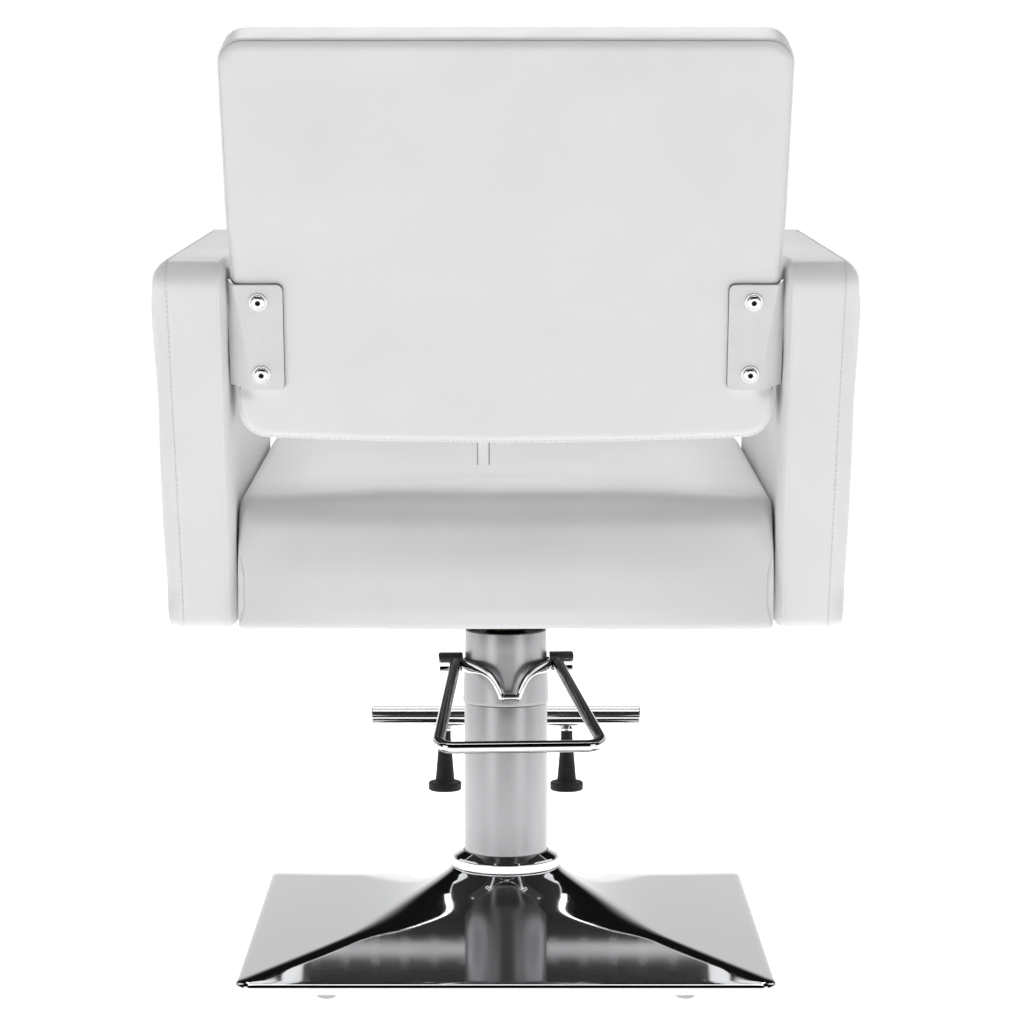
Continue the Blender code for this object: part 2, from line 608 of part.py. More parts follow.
def make_arms():
    for side, name in ((1, "left"), (-1, "right")):
        ends = sorted((side * ARM_INNER_X, side * ARM_OUTER_X))
        arm = side_slab(f"arm_{name}", ARM_OUTLINE, ARM_CORNER_R, *ends, ARM_EDGE_R, "foam_pad")
        lean_outer_face(arm.data, side)
        x = sorted((side * ARM_BOARD_X[0], side * ARM_BOARD_X[1]))
        room = 2 * GAP
        pocket = block(f"arm_pocket_{name}", (x[0] - room, ARM_BOARD_Y[0] - room, 0.30),
                       (x[1] + room, ARM_BOARD_Y[1] + room, ARM_BOARD_TOP_Z + room), None)
        boolean(arm, pocket)
        block(f"arm_board_{name}", (x[0], ARM_BOARD_Y[0], ARM_OUTLINE[0][1] + 0.001),
              (x[1], ARM_BOARD_Y[1], ARM_BOARD_TOP_Z), "plywood")


# ---------------------------------------------------------------- back

def back_outline(inset=0.0):
    """The back's outline, a closed line of (x, y) in the back's own frame."""
    right = [(x - inset, y + (inset if y == 0 else -inset if i == 3 else 0), 0)
             for i, (x, y) in enumerate(BACK_OUTLINE)]
    left = [(-x, y, 0) for x, y, _ in reversed(right)]
    radii = [max(0.006, r - inset) for r in BACK_CORNER_R]
    return rounded_path(right + left, radii + radii[::-1], closed=True)


def back_slab(name, inset, low, high, slot, frame, edge=0.0):
    piece = place(name, outline_mesh(name, back_outline(inset), (high - low) / 2, edge), slot)
    piece.location.z = (low + high) / 2
    piece.parent = frame
    return piece


def bracket_bolt_spots():
    for side in (-1, 1):
        for x, y in zip(BRACKET_BOLT_X, BRACKET_BOLTS):
            yield side * x, y


def make_bracket(name, side, frame):
    """A bent plate: a flat on the back's rear face and a leg folded forward to the arm."""
    t = BRACKET_THICKNESS
    leg_x, leg_z = ARM_INNER_X - GAP, BRACKET_LEG_Z

    def section(y, fold):
        line = [(BRACKET_X, GAP), (fold, GAP), (leg_x, leg_z), (leg_x, leg_z + t + 0.0008),
                (fold, GAP + t), (BRACKET_X, GAP + t)]
        return [(side * x, y, z) for x, z in line]

    def build(bm):
        loops = [[bm.verts.new(spot) for spot in section(y, fold)]
                 for y, fold in zip(BRACKET_Y, BRACKET_FOLD_X)]
        for k in range(6):
            bm.faces.new((loops[0][k - 1], loops[0][k], loops[1][k], loops[1][k - 1]))
        for loop in loops:
            bm.faces.new(loop)

    bracket = place(name, mesh_from(build, name), "white_paint")
    bracket.parent = frame
    return bracket


def make_back():
    frame = empty("back_frame", BACK_FOOT, (math.radians(90) + BACK_LEAN, 0, math.radians(180)))
    cushion = back_slab("back_cushion", 0.0, -BACK_THICKNESS, 0.0, "foam_pad", frame, BACK_EDGE_R)
    pocket_inset = BACK_BOARD_INSET - 2 * GAP
    pocket = back_slab("back_pocket", pocket_inset, BACK_BOARD_Z[0] - GAP, 0.02, None, frame)
    boolean(cushion, pocket)
    board = back_slab("back_board", BACK_BOARD_INSET, *BACK_BOARD_Z, "plywood", frame)
    panel = back_slab("back_panel", BACK_BOARD_INSET, *BACK_PANEL_Z, "upholstery", frame)
    holes = [((x, y, -0.015), (x, y, 0.01), BOLT_SHANK_R + GAP) for x, y in bracket_bolt_spots()]
    bores(board, "back_board_holes", holes, frame, 12)
    bores(panel, "back_panel_holes", holes, frame, 12)
    for side, name in ((-1, "left"), (1, "right")):
        bracket = make_bracket(f"back_bracket_{name}", side, frame)
        bores(bracket, f"bracket_holes_{name}", holes, frame, 12)
    seat_z = GAP + BRACKET_THICKNESS + GAP
    for i, (x, y) in enumerate(bracket_bolt_spots(), 1):
        head = [(0, seat_z + BOLT_HEAD_H), (0.0045, seat_z + BOLT_HEAD_H - 0.0004),
                (BOLT_HEAD_R - 0.0008, seat_z + 0.0022), (BOLT_HEAD_R, seat_z)]
        shank = [(BOLT_SHANK_R, seat_z), (BOLT_SHANK_R, BOLT_FOOT_Z), (0, BOLT_FOOT_Z)]
        bolt = turned(f"bracket_bolt_{i}", head + shank, "chrome", 20, at=(x, y, 0))
        bolt.parent = frame
    low, high = (TAG_X[0], -TAG_HEIGHT, TAG_Z[0]), (TAG_X[1], 0.0, TAG_Z[1])
    tag = block("back_tag", low, high, "label_cloth")
    tag.location = (0, -GAP, 0)
    tag.parent = frame


# ---------------------------------------------------------------- footrest

def make_footrest():
    socket = cylinder("footrest_socket", (0, SOCKET_Y[0], STEM_Z), (0, SOCKET_Y[1], STEM_Z), SOCKET_R,
                      "steel", 24)
    bore_ends = (0, SOCKET_Y[0] - 0.01, STEM_Z), (0, SOCKET_Y[1] + 0.01, STEM_Z)
    bores(socket, "socket_bore", [(*bore_ends, SOCKET_BORE_R)], segments=24)
    bores(socket, "socket_screw_hole", [((0, SCREW_Y, 0.28), (0, SCREW_Y, STEM_Z), SCREW_HOLE_R)])
    head_low, head_high = SCREW_HEAD_Z
    tip_z = STEM_Z - STEM_R - GAP
    screw = cylinder("footrest_screw", (0, SCREW_Y, tip_z), (0, SCREW_Y, head_high - 0.004), SCREW_R,
                     "steel", 12)
    knob = cylinder("footrest_screw_head", (0, SCREW_Y, head_high), (0, SCREW_Y, head_low), SCREW_HEAD_R,
                    "steel", 16)
    boolean(screw, knob, "UNION")
    corners = [(0, SOCKET_Y[1] + 0.004, STEM_Z), (0, -0.262, STEM_Z),
               (0, BAR_Y + 0.010, BAR_Z + BAR_R + 0.0040)]
    stem = rounded_path(corners, [0, 0.045, 0], steps=7)
    pipe("footrest_stem", stem, STEM_R, "chrome", 4)
    edge = 0.0015
    bar = turned("footrest_bar", [(0, BAR_HALF), (BAR_R - edge, BAR_HALF), (BAR_R, BAR_HALF - edge),
                                  (BAR_R, -BAR_HALF + edge), (BAR_R - edge, -BAR_HALF), (0, -BAR_HALF)],
                 "chrome", 24, at=(0, BAR_Y, BAR_Z))
    bar.rotation_euler.y = math.radians(90)
    top = BAR_Z - BAR_R - GAP
    for side, name in ((1, "left"), (-1, "right")):
        spot = (side * BUMPER_X, BAR_Y, 0)
        turned(f"bumper_ferrule_{name}", [(0, top), (FERRULE_R - 0.001, top), (FERRULE_R, top - 0.001),
                                          (FERRULE_R, top - FERRULE_H), (0, top - FERRULE_H)],
               "chrome", 20, at=spot)
        neck = top - FERRULE_H - GAP
        foot = BUMPER_BOTTOM_Z + BUMPER_FOOT_H
        turned(f"footrest_bumper_{name}",
               [(0, neck), (BUMPER_NECK_R, neck), (BUMPER_WAIST_R, foot + 0.001),
                (BUMPER_FOOT_R - 0.001, foot), (BUMPER_FOOT_R, foot - 0.0015),
                (BUMPER_FOOT_R, BUMPER_BOTTOM_Z + 0.0015), (BUMPER_FOOT_R - 0.0015, BUMPER_BOTTOM_Z),
                (0, BUMPER_BOTTOM_Z)], "rubber", 24, at=spot)


clear_scene()
make_base()
make_pump()
make_pedal()
make_seat()
make_arms()
make_back()
make_footrest()
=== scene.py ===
"""Salon styling chair: sewn white imitation leather over foam, chrome base and footrest, satin pump."""
import math

import bmesh
import bpy
import numpy as np
from mathutils import Matrix, Vector, noise
from mathutils.geometry import delaunay_2d_cdt


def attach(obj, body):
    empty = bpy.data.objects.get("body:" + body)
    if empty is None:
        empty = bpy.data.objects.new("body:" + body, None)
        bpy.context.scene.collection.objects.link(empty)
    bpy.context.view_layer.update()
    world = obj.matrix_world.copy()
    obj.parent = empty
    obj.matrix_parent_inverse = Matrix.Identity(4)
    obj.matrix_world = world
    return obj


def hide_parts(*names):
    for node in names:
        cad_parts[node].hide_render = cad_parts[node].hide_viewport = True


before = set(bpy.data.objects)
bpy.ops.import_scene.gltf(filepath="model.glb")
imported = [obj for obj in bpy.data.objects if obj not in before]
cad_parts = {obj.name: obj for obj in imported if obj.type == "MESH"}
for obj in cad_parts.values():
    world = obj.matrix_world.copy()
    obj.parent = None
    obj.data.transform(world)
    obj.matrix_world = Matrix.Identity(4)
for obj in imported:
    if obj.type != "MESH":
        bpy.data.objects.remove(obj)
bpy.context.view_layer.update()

BACK_LEAN = math.radians(14.6)
PUMP_TURN = math.radians(4)
PEDAL_Z = 0.277


# ---------------------------------------------------------------- finishes

class Finish:
    """A node material being put together around one Principled shader."""

    def __init__(self, name, colour, roughness, metallic=0.0, **sockets):
        self.material = bpy.data.materials.new(name)
        self.material.use_nodes = True
        self.tree = self.material.node_tree
        self.shader = self.tree.nodes["Principled BSDF"]
        self.shader.inputs["Base Color"].default_value = (*colour, 1.0)
        self.shader.inputs["Roughness"].default_value = roughness
        self.shader.inputs["Metallic"].default_value = metallic
        for socket, value in sockets.items():
            self.shader.inputs[socket.replace("_", " ")].default_value = value
        self.place = self.node("ShaderNodeTexCoord").outputs["Object"]

    def node(self, kind, **settings):
        made = self.tree.nodes.new(kind)
        for setting, value in settings.items():
            setattr(made, setting, value)
        return made

    def link(self, source, target):
        self.tree.links.new(source, target)

    def stretched(self, scale):
        """The object's own coordinates, scaled differently along each axis."""
        mapping = self.node("ShaderNodeMapping")
        mapping.inputs["Scale"].default_value = scale
        self.link(self.place, mapping.inputs["Vector"])
        return mapping.outputs["Vector"]

    def clouds(self, scale, detail=3.0, roughness=0.55, place=None):
        texture = self.node("ShaderNodeTexNoise")
        texture.inputs["Scale"].default_value = scale
        texture.inputs["Detail"].default_value = detail
        texture.inputs["Roughness"].default_value = roughness
        self.link(place or self.place, texture.inputs["Vector"])
        return texture.outputs["Fac"]

    def cells(self, scale, feature="F1", place=None):
        texture = self.node("ShaderNodeTexVoronoi", feature=feature)
        texture.inputs["Scale"].default_value = scale
        self.link(place or self.place, texture.inputs["Vector"])
        return texture.outputs["Distance"]

    def ramp(self, value, stops):
        """A colour ramp; each stop is (position, colour or grey)."""
        ramp = self.node("ShaderNodeValToRGB")
        elements = ramp.color_ramp.elements
        while len(elements) < len(stops):
            elements.new(0.5)
        for element, (position, colour) in zip(elements, stops):
            element.position = position
            element.color = (*colour, 1.0) if isinstance(colour, tuple) else (colour, colour, colour, 1.0)
        self.link(value, ramp.inputs["Fac"])
        return ramp.outputs["Color"]

    def colour_from(self, value, stops):
        self.link(self.ramp(value, stops), self.shader.inputs["Base Color"])
        return self

    def roughness_from(self, value, low, high):
        spread = self.node("ShaderNodeMapRange")
        spread.inputs["To Min"].default_value = low
        spread.inputs["To Max"].default_value = high
        self.link(value, spread.inputs["Value"])
        self.link(spread.outputs["Result"], self.shader.inputs["Roughness"])
        return self

    def bump(self, height, distance, strength=1.0):
        """Relief of this height in metres, laid over any relief that is there already."""
        relief = self.node("ShaderNodeBump")
        relief.inputs["Distance"].default_value = distance
        relief.inputs["Strength"].default_value = strength
        self.link(height, relief.inputs["Height"])
        normal = self.shader.inputs["Normal"]
        if normal.links:
            self.link(normal.links[0].from_socket, relief.inputs["Normal"])
        self.link(relief.outputs["Normal"], normal)
        return self


def imitation_leather():
    made = Finish("white_imitation_leather", (0.80, 0.80, 0.81), 0.5, Specular_IOR_Level=0.42,
                  Sheen_Weight=0.06, Coat_Weight=0.05, Coat_Roughness=0.35)
    made.colour_from(made.clouds(9.0, 4.0), [(0.30, (0.775, 0.777, 0.785)), (0.70, (0.815, 0.815, 0.820))])
    made.roughness_from(made.clouds(26.0, 3.0), 0.40, 0.56)
    made.bump(made.clouds(45.0, 2.0), 0.0006, 0.25)
    made.bump(made.cells(1150.0, "DISTANCE_TO_EDGE"), 0.00010, 0.35)
    made.bump(made.clouds(2300.0, 2.0), 0.00006, 0.30)
    return made.material


def mottled(name, base, colours=None, spread=None, grain=None, **sockets):
    """A finish from short lists: its base is (colour, roughness, metallic), its colours vary as (noise scale,
    detail, stops) and its roughness as (noise scale, low, high); its grain is (scale, detail, height,
    strength)."""
    made = Finish(name, *base, **sockets)
    if colours:
        scale, detail, stops = colours
        made.colour_from(made.clouds(scale, detail), stops)
    if spread:
        scale, low, high = spread
        made.roughness_from(made.clouds(scale, 3.0), low, high)
    if grain:
        scale, detail, height, strength = grain
        made.bump(made.clouds(scale, detail), height, strength)
    return made.material


def chrome(name="bright_chrome", roughness=0.045):
    made = Finish(name, (0.80, 0.81, 0.82), roughness, 1.0)
    made.roughness_from(made.clouds(22.0, 4.0), roughness * 0.8, roughness * 1.7)
    made.bump(made.clouds(11.0, 1.5), 0.0005, 0.05)
    return made.material


def satin_steel():
    made = Finish("satin_plated_steel", (0.43, 0.43, 0.44), 0.30, 1.0)
    made.roughness_from(made.clouds(60.0, 3.0), 0.26, 0.34)
    made.bump(made.clouds(4200.0, 2.0), 0.00004, 0.35)
    made.bump(made.clouds(700.0, 2.0, place=made.stretched((0.15, 0.15, 1.0))), 0.00003, 0.3)
    return made.material


def plywood():
    made = Finish("plywood", (0.62, 0.45, 0.28), 0.7)
    rings = made.clouds(18.0, 5.0, place=made.stretched((1.0, 7.0, 7.0)))
    made.colour_from(rings, [(0.25, (0.50, 0.34, 0.19)), (0.75, (0.72, 0.55, 0.36))])
    made.bump(made.clouds(500.0, 3.0, place=made.stretched((0.2, 1.0, 1.0))), 0.0002, 0.4)
    return made.material


def woven(name, dark, light, threads, sheen=0.15):
    """A plain weave of crossing threads, so many to the metre."""
    made = Finish(name, light, 0.9, Sheen_Weight=sheen)
    weave = made.node("ShaderNodeTexWave", wave_type="BANDS", bands_direction="X")
    across = made.node("ShaderNodeTexWave", wave_type="BANDS", bands_direction="Y")
    both = made.node("ShaderNodeMath", operation="MULTIPLY")
    for wave, socket in ((weave, 0), (across, 1)):
        wave.inputs["Scale"].default_value = threads / 20
        made.link(made.place, wave.inputs["Vector"])
        made.link(wave.outputs["Fac"], both.inputs[socket])
    made.colour_from(both.outputs[0], [(0.0, dark), (1.0, light)])
    made.bump(both.outputs[0], 0.0002, 0.5)
    return made.material


LEATHER = imitation_leather()
THREAD = mottled("white_sewing_thread", ((0.72, 0.72, 0.73), 0.7),
                 (900.0, 2.0, [(0.3, (0.64, 0.64, 0.65)), (0.7, (0.76, 0.76, 0.77))]),
                 grain=(6000.0, 1.0, 0.00006, 0.6), Sheen_Weight=0.2)
# dark grey for thin lines laid where there is only shade: painted shade in the back's rear seam and along the
# tag's edges
PAINTED_SHADE_LINE = mottled("leather_in_the_seam", ((0.30, 0.30, 0.31), 0.75),
                 (300.0, 2.0, [(0.3, (0.26, 0.26, 0.27)), (0.7, (0.36, 0.36, 0.37))]),
                 grain=(2500.0, 1.0, 0.00005, 0.4))
CHROME = chrome()
BOLT_CHROME = chrome("bolt_chrome", 0.16)
SATIN = satin_steel()
STEEL = mottled("plain_steel", ((0.50, 0.50, 0.52), 0.42, 1.0),
                (80.0, 4.0, [(0.3, (0.40, 0.40, 0.42)), (0.7, (0.56, 0.56, 0.58))]),
                (160.0, 0.32, 0.55), (2600.0, 2.0, 0.00005, 0.3))
BRONZE = mottled("bearing_bronze", ((0.62, 0.42, 0.20), 0.35, 1.0),
                 spread=(300.0, 0.28, 0.45), grain=(3000.0, 2.0, 0.00004, 0.3))
GREASED = mottled("greased_bronze", ((0.10, 0.075, 0.045), 0.30, 0.9),
                  (240.0, 4.0, [(0.35, (0.030, 0.026, 0.020)), (0.75, (0.22, 0.15, 0.08))]),
                  (300.0, 0.18, 0.45), (1500.0, 2.0, 0.00008, 0.4))
BLACK_MOTTLE = (120.0, 3.0, [(0.3, (0.007, 0.007, 0.008)), (0.7, (0.014, 0.014, 0.015))])
BLACK = mottled("moulded_black_plastic", ((0.018, 0.018, 0.020), 0.45), BLACK_MOTTLE,
                (70.0, 0.45 * 0.85, 0.45 * 1.2), (1800.0, 2.0, 0.00010, 0.35), Specular_IOR_Level=0.45)
RUBBER = mottled("black_rubber", ((0.018, 0.018, 0.020), 0.62), BLACK_MOTTLE,
                 (70.0, 0.62 * 0.85, 0.62 * 1.2), (900.0, 2.0, 0.00010, 0.35), Specular_IOR_Level=0.45)
GLIDE = mottled("translucent_grey_plastic", ((0.62, 0.63, 0.64), 0.28),
                (200.0, 2.0, [(0.3, (0.56, 0.57, 0.58)), (0.7, (0.68, 0.69, 0.70))]),
                grain=(1500.0, 2.0, 0.00005, 0.3), Transmission_Weight=0.35, IOR=1.48)
PAINT = mottled("white_powder_coat", ((0.78, 0.78, 0.78), 0.32),
                (60.0, 3.0, [(0.3, (0.70, 0.70, 0.705)), (0.7, (0.74, 0.74, 0.74))]),
                grain=(900.0, 1.5, 0.00008, 0.35), Coat_Weight=0.25, Coat_Roughness=0.2)
PLYWOOD = plywood()
LINING = woven("black_dust_cloth", (0.003, 0.003, 0.003), (0.010, 0.010, 0.010), 1400, 0.0)
TAPE = woven("white_woven_tape", (0.76, 0.76, 0.75), (0.82, 0.82, 0.81), 2600)


# ---------------------------------------------------------------- making pieces

def new_piece(name, mesh, material, smooth=None):
    """A finished piece in the scene, shaded smooth up to the given angle in degrees."""
    piece = bpy.data.objects.new(name, mesh)
    bpy.context.scene.collection.objects.link(piece)
    mesh.materials.clear()
    mesh.materials.append(material)
    if smooth is not None:
        mesh.shade_smooth()
        mesh.set_sharp_from_angle(angle=math.radians(smooth))
    return piece


def mesh_of(build, name="shape"):
    bm = bmesh.new()
    build(bm)
    bmesh.ops.recalc_face_normals(bm, faces=bm.faces)
    mesh = bpy.data.meshes.new(name)
    bm.to_mesh(mesh)
    bm.free()
    return mesh


def mesh_outward(mesh):
    bm = bmesh.new()
    bm.from_mesh(mesh)
    bmesh.ops.recalc_face_normals(bm, faces=bm.faces)
    bm.to_mesh(mesh)
    bm.free()


def sheet(name, grid):
    """An open sheet through rows of points, facing the way the rows turn."""
    width = len(grid[0])
    faces = [(r * width + k, (r + 1) * width + k, (r + 1) * width + k + 1, r * width + k + 1)
             for r in range(len(grid) - 1) for k in range(width - 1)]
    mesh = bpy.data.meshes.new(name)
    mesh.from_pydata([tuple(point) for row in grid for point in row], [], faces)
    return mesh


def settled(piece):
    """Apply the piece's modifiers and its place, so that it sits at the origin."""
    bpy.context.view_layer.update()
    evaluated = piece.evaluated_get(bpy.context.evaluated_depsgraph_get())
    mesh = bpy.data.meshes.new_from_object(evaluated)
    mesh.transform(piece.matrix_world)
    if piece.matrix_world.determinant() < 0:
        mesh.flip_normals()
    piece.modifiers.clear()
    old = piece.data
    piece.data = mesh
    piece.matrix_world = Matrix.Identity(4)
    bpy.data.meshes.remove(old) if isinstance(old, bpy.types.Mesh) else bpy.data.curves.remove(old)
    return piece


def rounded_edges(piece, width, segments=3, angle=35):
    mod = piece.modifiers.new("rounded_edges", "BEVEL")
    mod.width = width
    mod.segments = segments
    mod.limit_method = "ANGLE"
    mod.angle_limit = math.radians(angle)
    mod.harden_normals = False
    return piece


def thickened(piece, thickness, offset=-1.0):
    wall = piece.modifiers.new("thickness", "SOLIDIFY")
    wall.thickness = thickness
    wall.offset = offset
    return settled(piece)


def keeps(piece, body, slot, *nodes):
    """The piece rides on a body and stands for the CAD nodes named; its slot is not used."""
    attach(piece, body)
    if nodes:
        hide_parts(*nodes)
    return piece


def loft_rings(bm, rings, closed_ends=True):
    """Skin a list of equal closed rings of vertices."""
    for first, second in zip(rings, rings[1:]):
        for i in range(len(first)):
            j = (i + 1) % len(first)
            bm.faces.new((first[i], first[j], second[j], second[i]))
    if closed_ends:
        bm.faces.new(rings[0])
        bm.faces.new(list(reversed(rings[-1])))


def turned_mesh(profile, steps=96):
    """A mesh turned about Z from (radius, height) points; a radius of 0 at an end closes it."""
    def build(bm):
        rings = []
        for radius, height in profile:
            if radius == 0:
                rings.append([bm.verts.new((0, 0, height))])
            else:
                rings.append([bm.verts.new((radius * math.cos(2 * math.pi * i / steps),
                                            radius * math.sin(2 * math.pi * i / steps), height))
                              for i in range(steps)])
        for first, second in zip(rings, rings[1:]):
            for i in range(steps):
                j = (i + 1) % steps
                corners = [first[i % len(first)], first[j % len(first)],
                           second[j % len(second)], second[i % len(second)]]
                unique = list(dict.fromkeys(corners))
                bm.faces.new(unique)
    return mesh_of(build)


def rounded_profile(points, radii, steps=5):
    """An open profile whose inner corners are rounded, each with its own radius."""
    done = [Vector(points[0])]
    for i in range(1, len(points) - 1):
        before, corner, after = (Vector(points[k]) for k in (i - 1, i, i + 1))
        done += round_corner(before, corner, after, radii[i - 1], steps)
    return done + [Vector(points[-1])]


def round_corner(before, corner, after, radius, steps):
    """Points of the arc that replaces a corner; it starts and ends on the straight stretches."""
    if radius <= 0:
        return [corner]
    u, v = (before - corner).normalized(), (after - corner).normalized()
    half = u.angle(v) / 2
    centre = corner + (u + v).normalized() * (radius / math.sin(half))
    reach = radius / math.tan(half)
    first, last = corner + u * reach - centre, corner + v * reach - centre
    turn = math.pi - 2 * half
    return [centre + (first * math.sin(turn * (1 - t)) + last * math.sin(turn * t)) / math.sin(turn)
            for t in (k / steps for k in range(steps + 1))]


def closed_outline(corners, radii, spacing, steps=24):
    """Evenly spaced points round an outline with rounded corners."""
    line = []
    for i, corner in enumerate(corners):
        line += round_corner(Vector(corners[i - 1]), Vector(corner), Vector(corners[(i + 1) % len(corners)]),
                             radii[i], steps)
    lengths = [(line[(i + 1) % len(line)] - line[i]).length for i in range(len(line))]
    count = round(sum(lengths) / spacing)
    step, done, walked, i = sum(lengths) / count, [], 0.0, 0
    for k in range(count):
        while walked + lengths[i] < k * step:
            walked += lengths[i]
            i += 1
        done.append(line[i].lerp(line[(i + 1) % len(line)], (k * step - walked) / lengths[i]))
    return done


def outward_normals(points):
    """Outward normals of a closed 2D line that runs counter-clockwise."""
    count = len(points)
    found = []
    for i in range(count):
        along = points[(i + 1) % count] - points[i - 1]
        found.append(Vector((along.y, -along.x)).normalized())
    return found


def tube_mesh(points, radius, sides=20, domed=0.0):
    """A round rod along 3D points; domed is how far its rounded ends stand out."""
    points = [Vector(p) for p in points]
    sizes = [radius] * len(points)
    if domed:
        for end, beside in ((0, 1), (-1, -2)):
            out = (points[end] - points[beside]).normalized()
            caps = [(points[end] + out * domed * math.sin(a), radius * math.cos(a))
                    for a in (math.radians(18 * k) for k in range(1, 5))]
            caps.append((points[end] + out * domed, radius * 0.12))
            spots, radii = [spot for spot, _ in caps], [size for _, size in caps]
            points = points + spots if end else spots[::-1] + points
            sizes = sizes + radii if end else radii[::-1] + sizes
    tangents = [(points[min(i + 1, len(points) - 1)] - points[max(i - 1, 0)]).normalized()
                for i in range(len(points))]
    side = tangents[0].orthogonal().normalized()

    def build(bm):
        nonlocal side
        rings = []
        for point, tangent, size in zip(points, tangents, sizes):
            side = (side - tangent * side.dot(tangent)).normalized()
            up = tangent.cross(side)
            rings.append([bm.verts.new(point + (side * math.cos(a) + up * math.sin(a)) * size)
                          for a in (2 * math.pi * k / sides for k in range(sides))])
        loft_rings(bm, rings)
    return mesh_of(build)


def bent_path(corners, radii, steps=10, straight=6):
    """A 3D path with rounded corners and some points on its straight stretches."""
    corners = [Vector(c) for c in corners]
    path = [corners[0]]
    for i in range(1, len(corners) - 1):
        arc = round_corner(corners[i - 1], corners[i], corners[i + 1], radii[i - 1], steps)
        path += [path[-1].lerp(arc[0], k / straight) for k in range(1, straight)]
        path += arc
    path += [path[-1].lerp(corners[-1], k / straight) for k in range(1, straight + 1)]
    return path


def joined(name, pieces):
    """Several shown pieces as one, keeping their materials."""
    with bpy.context.temp_override(active_object=pieces[0], selected_editable_objects=pieces):
        bpy.ops.object.join()
    pieces[0].name = name
    return pieces[0]


# ---------------------------------------------------------------- padded pieces

SPACING = 0.0055                 # between the points of a cover's mesh
SEAM_HALF, SEAM_DEPTH = 0.0016, 0.0016


def smooth_step(value, low, high):
    t = min(1.0, max(0.0, (value - low) / (high - low)))
    return t * t * (3 - 2 * t)


def section_spot(radius, height, sign, along, depth):
    """(inset, height) on a pad's edge: along is measured over the cover from where the round starts."""
    if along <= 0:
        return depth, height - sign * (radius - along)
    turn = along / radius
    if turn <= math.pi / 2:
        inner = radius - depth
        return radius - inner * math.cos(turn), height - sign * (radius - inner * math.sin(turn))
    return radius + along - radius * math.pi / 2, height - sign * depth


class Edge:
    """One rounded edge of a pad, between its band and one of its two faces, with a sewn seam along it.

    radius(point) and seam(point) may change along the outline; seam is the distance over the cover from
    where the round starts.  face_hold says how firmly a board or glue holds the face behind the cover."""

    def __init__(self, name, height, sign, radius, seam, face_hold=0.0, depth=SEAM_DEPTH, rows=()):
        self.name, self.height, self.sign = name, height, sign
        self.radius, self.seam, self.face_hold, self.depth = radius, seam, face_hold, depth
        self.rows = dict(rows)

    def start(self, point):
        return min(0.0, self.seam(point) - SEAM_HALF - 0.003)

    def spot(self, point, along, depth=0.0):
        return section_spot(self.radius(point), self.height, self.sign, along, depth)

    def stations(self):
        """From the band to the face: (where, hold, row), with where(point) giving (inset, height)."""
        found = []
        for k in range(3):
            found.append((lambda p, t=k / 3: self.spot(p, self.start(p) * (1 - t)
                                                       + (self.seam(p) - SEAM_HALF) * t), 0.35 * k / 2, None))
        for share, depth in ((-1, 0.0), (-0.42, 0.3), (0, 1.0), (0.42, 0.3), (1, 0.0)):
            row = self.name if share == 0 else None
            found.append((lambda p, a=share, d=depth: self.spot(p, self.seam(p) + a * SEAM_HALF,
                                                                d * self.depth), 1.0, row))
        rest = 4
        for k in range(1, rest + 1):
            def where(p, t=k / rest):
                first = self.seam(p) + SEAM_HALF
                last = max(self.radius(p) * math.pi / 2, first + 0.008)
                return self.spot(p, first + (last - first) * t)
            found.append((where, max(self.face_hold, 0.35 * (1 - k / 2)), self.rows.get(k)))
        return found


def face_lattice(ring, spacing):
    """Points inside a closed ring on a staggered lattice, clear of the ring itself."""
    edge = np.array([tuple(p) for p in ring])
    ends = np.roll(edge, -1, axis=0)
    low, high = edge.min(0), edge.max(0)
    found = []
    for r in range(1, int((high[1] - low[1]) / (spacing * 0.866)) + 1):
        y = low[1] + r * spacing * 0.866
        crossed = (edge[:, 1] > y) != (ends[:, 1] > y)
        a, b = edge[crossed], ends[crossed]
        cuts = a[:, 0] + (y - a[:, 1]) / (b[:, 1] - a[:, 1]) * (b - a)[:, 0]
        x = low[0] + (spacing / 2 if r % 2 else 0)
        while x < high[0]:
            inside = np.count_nonzero(cuts > x) % 2
            if inside and np.min(np.hypot(edge[:, 0] - x, edge[:, 1] - y)) > spacing * 0.72:
                found.append(Vector((x, y)))
            x += spacing
    return found


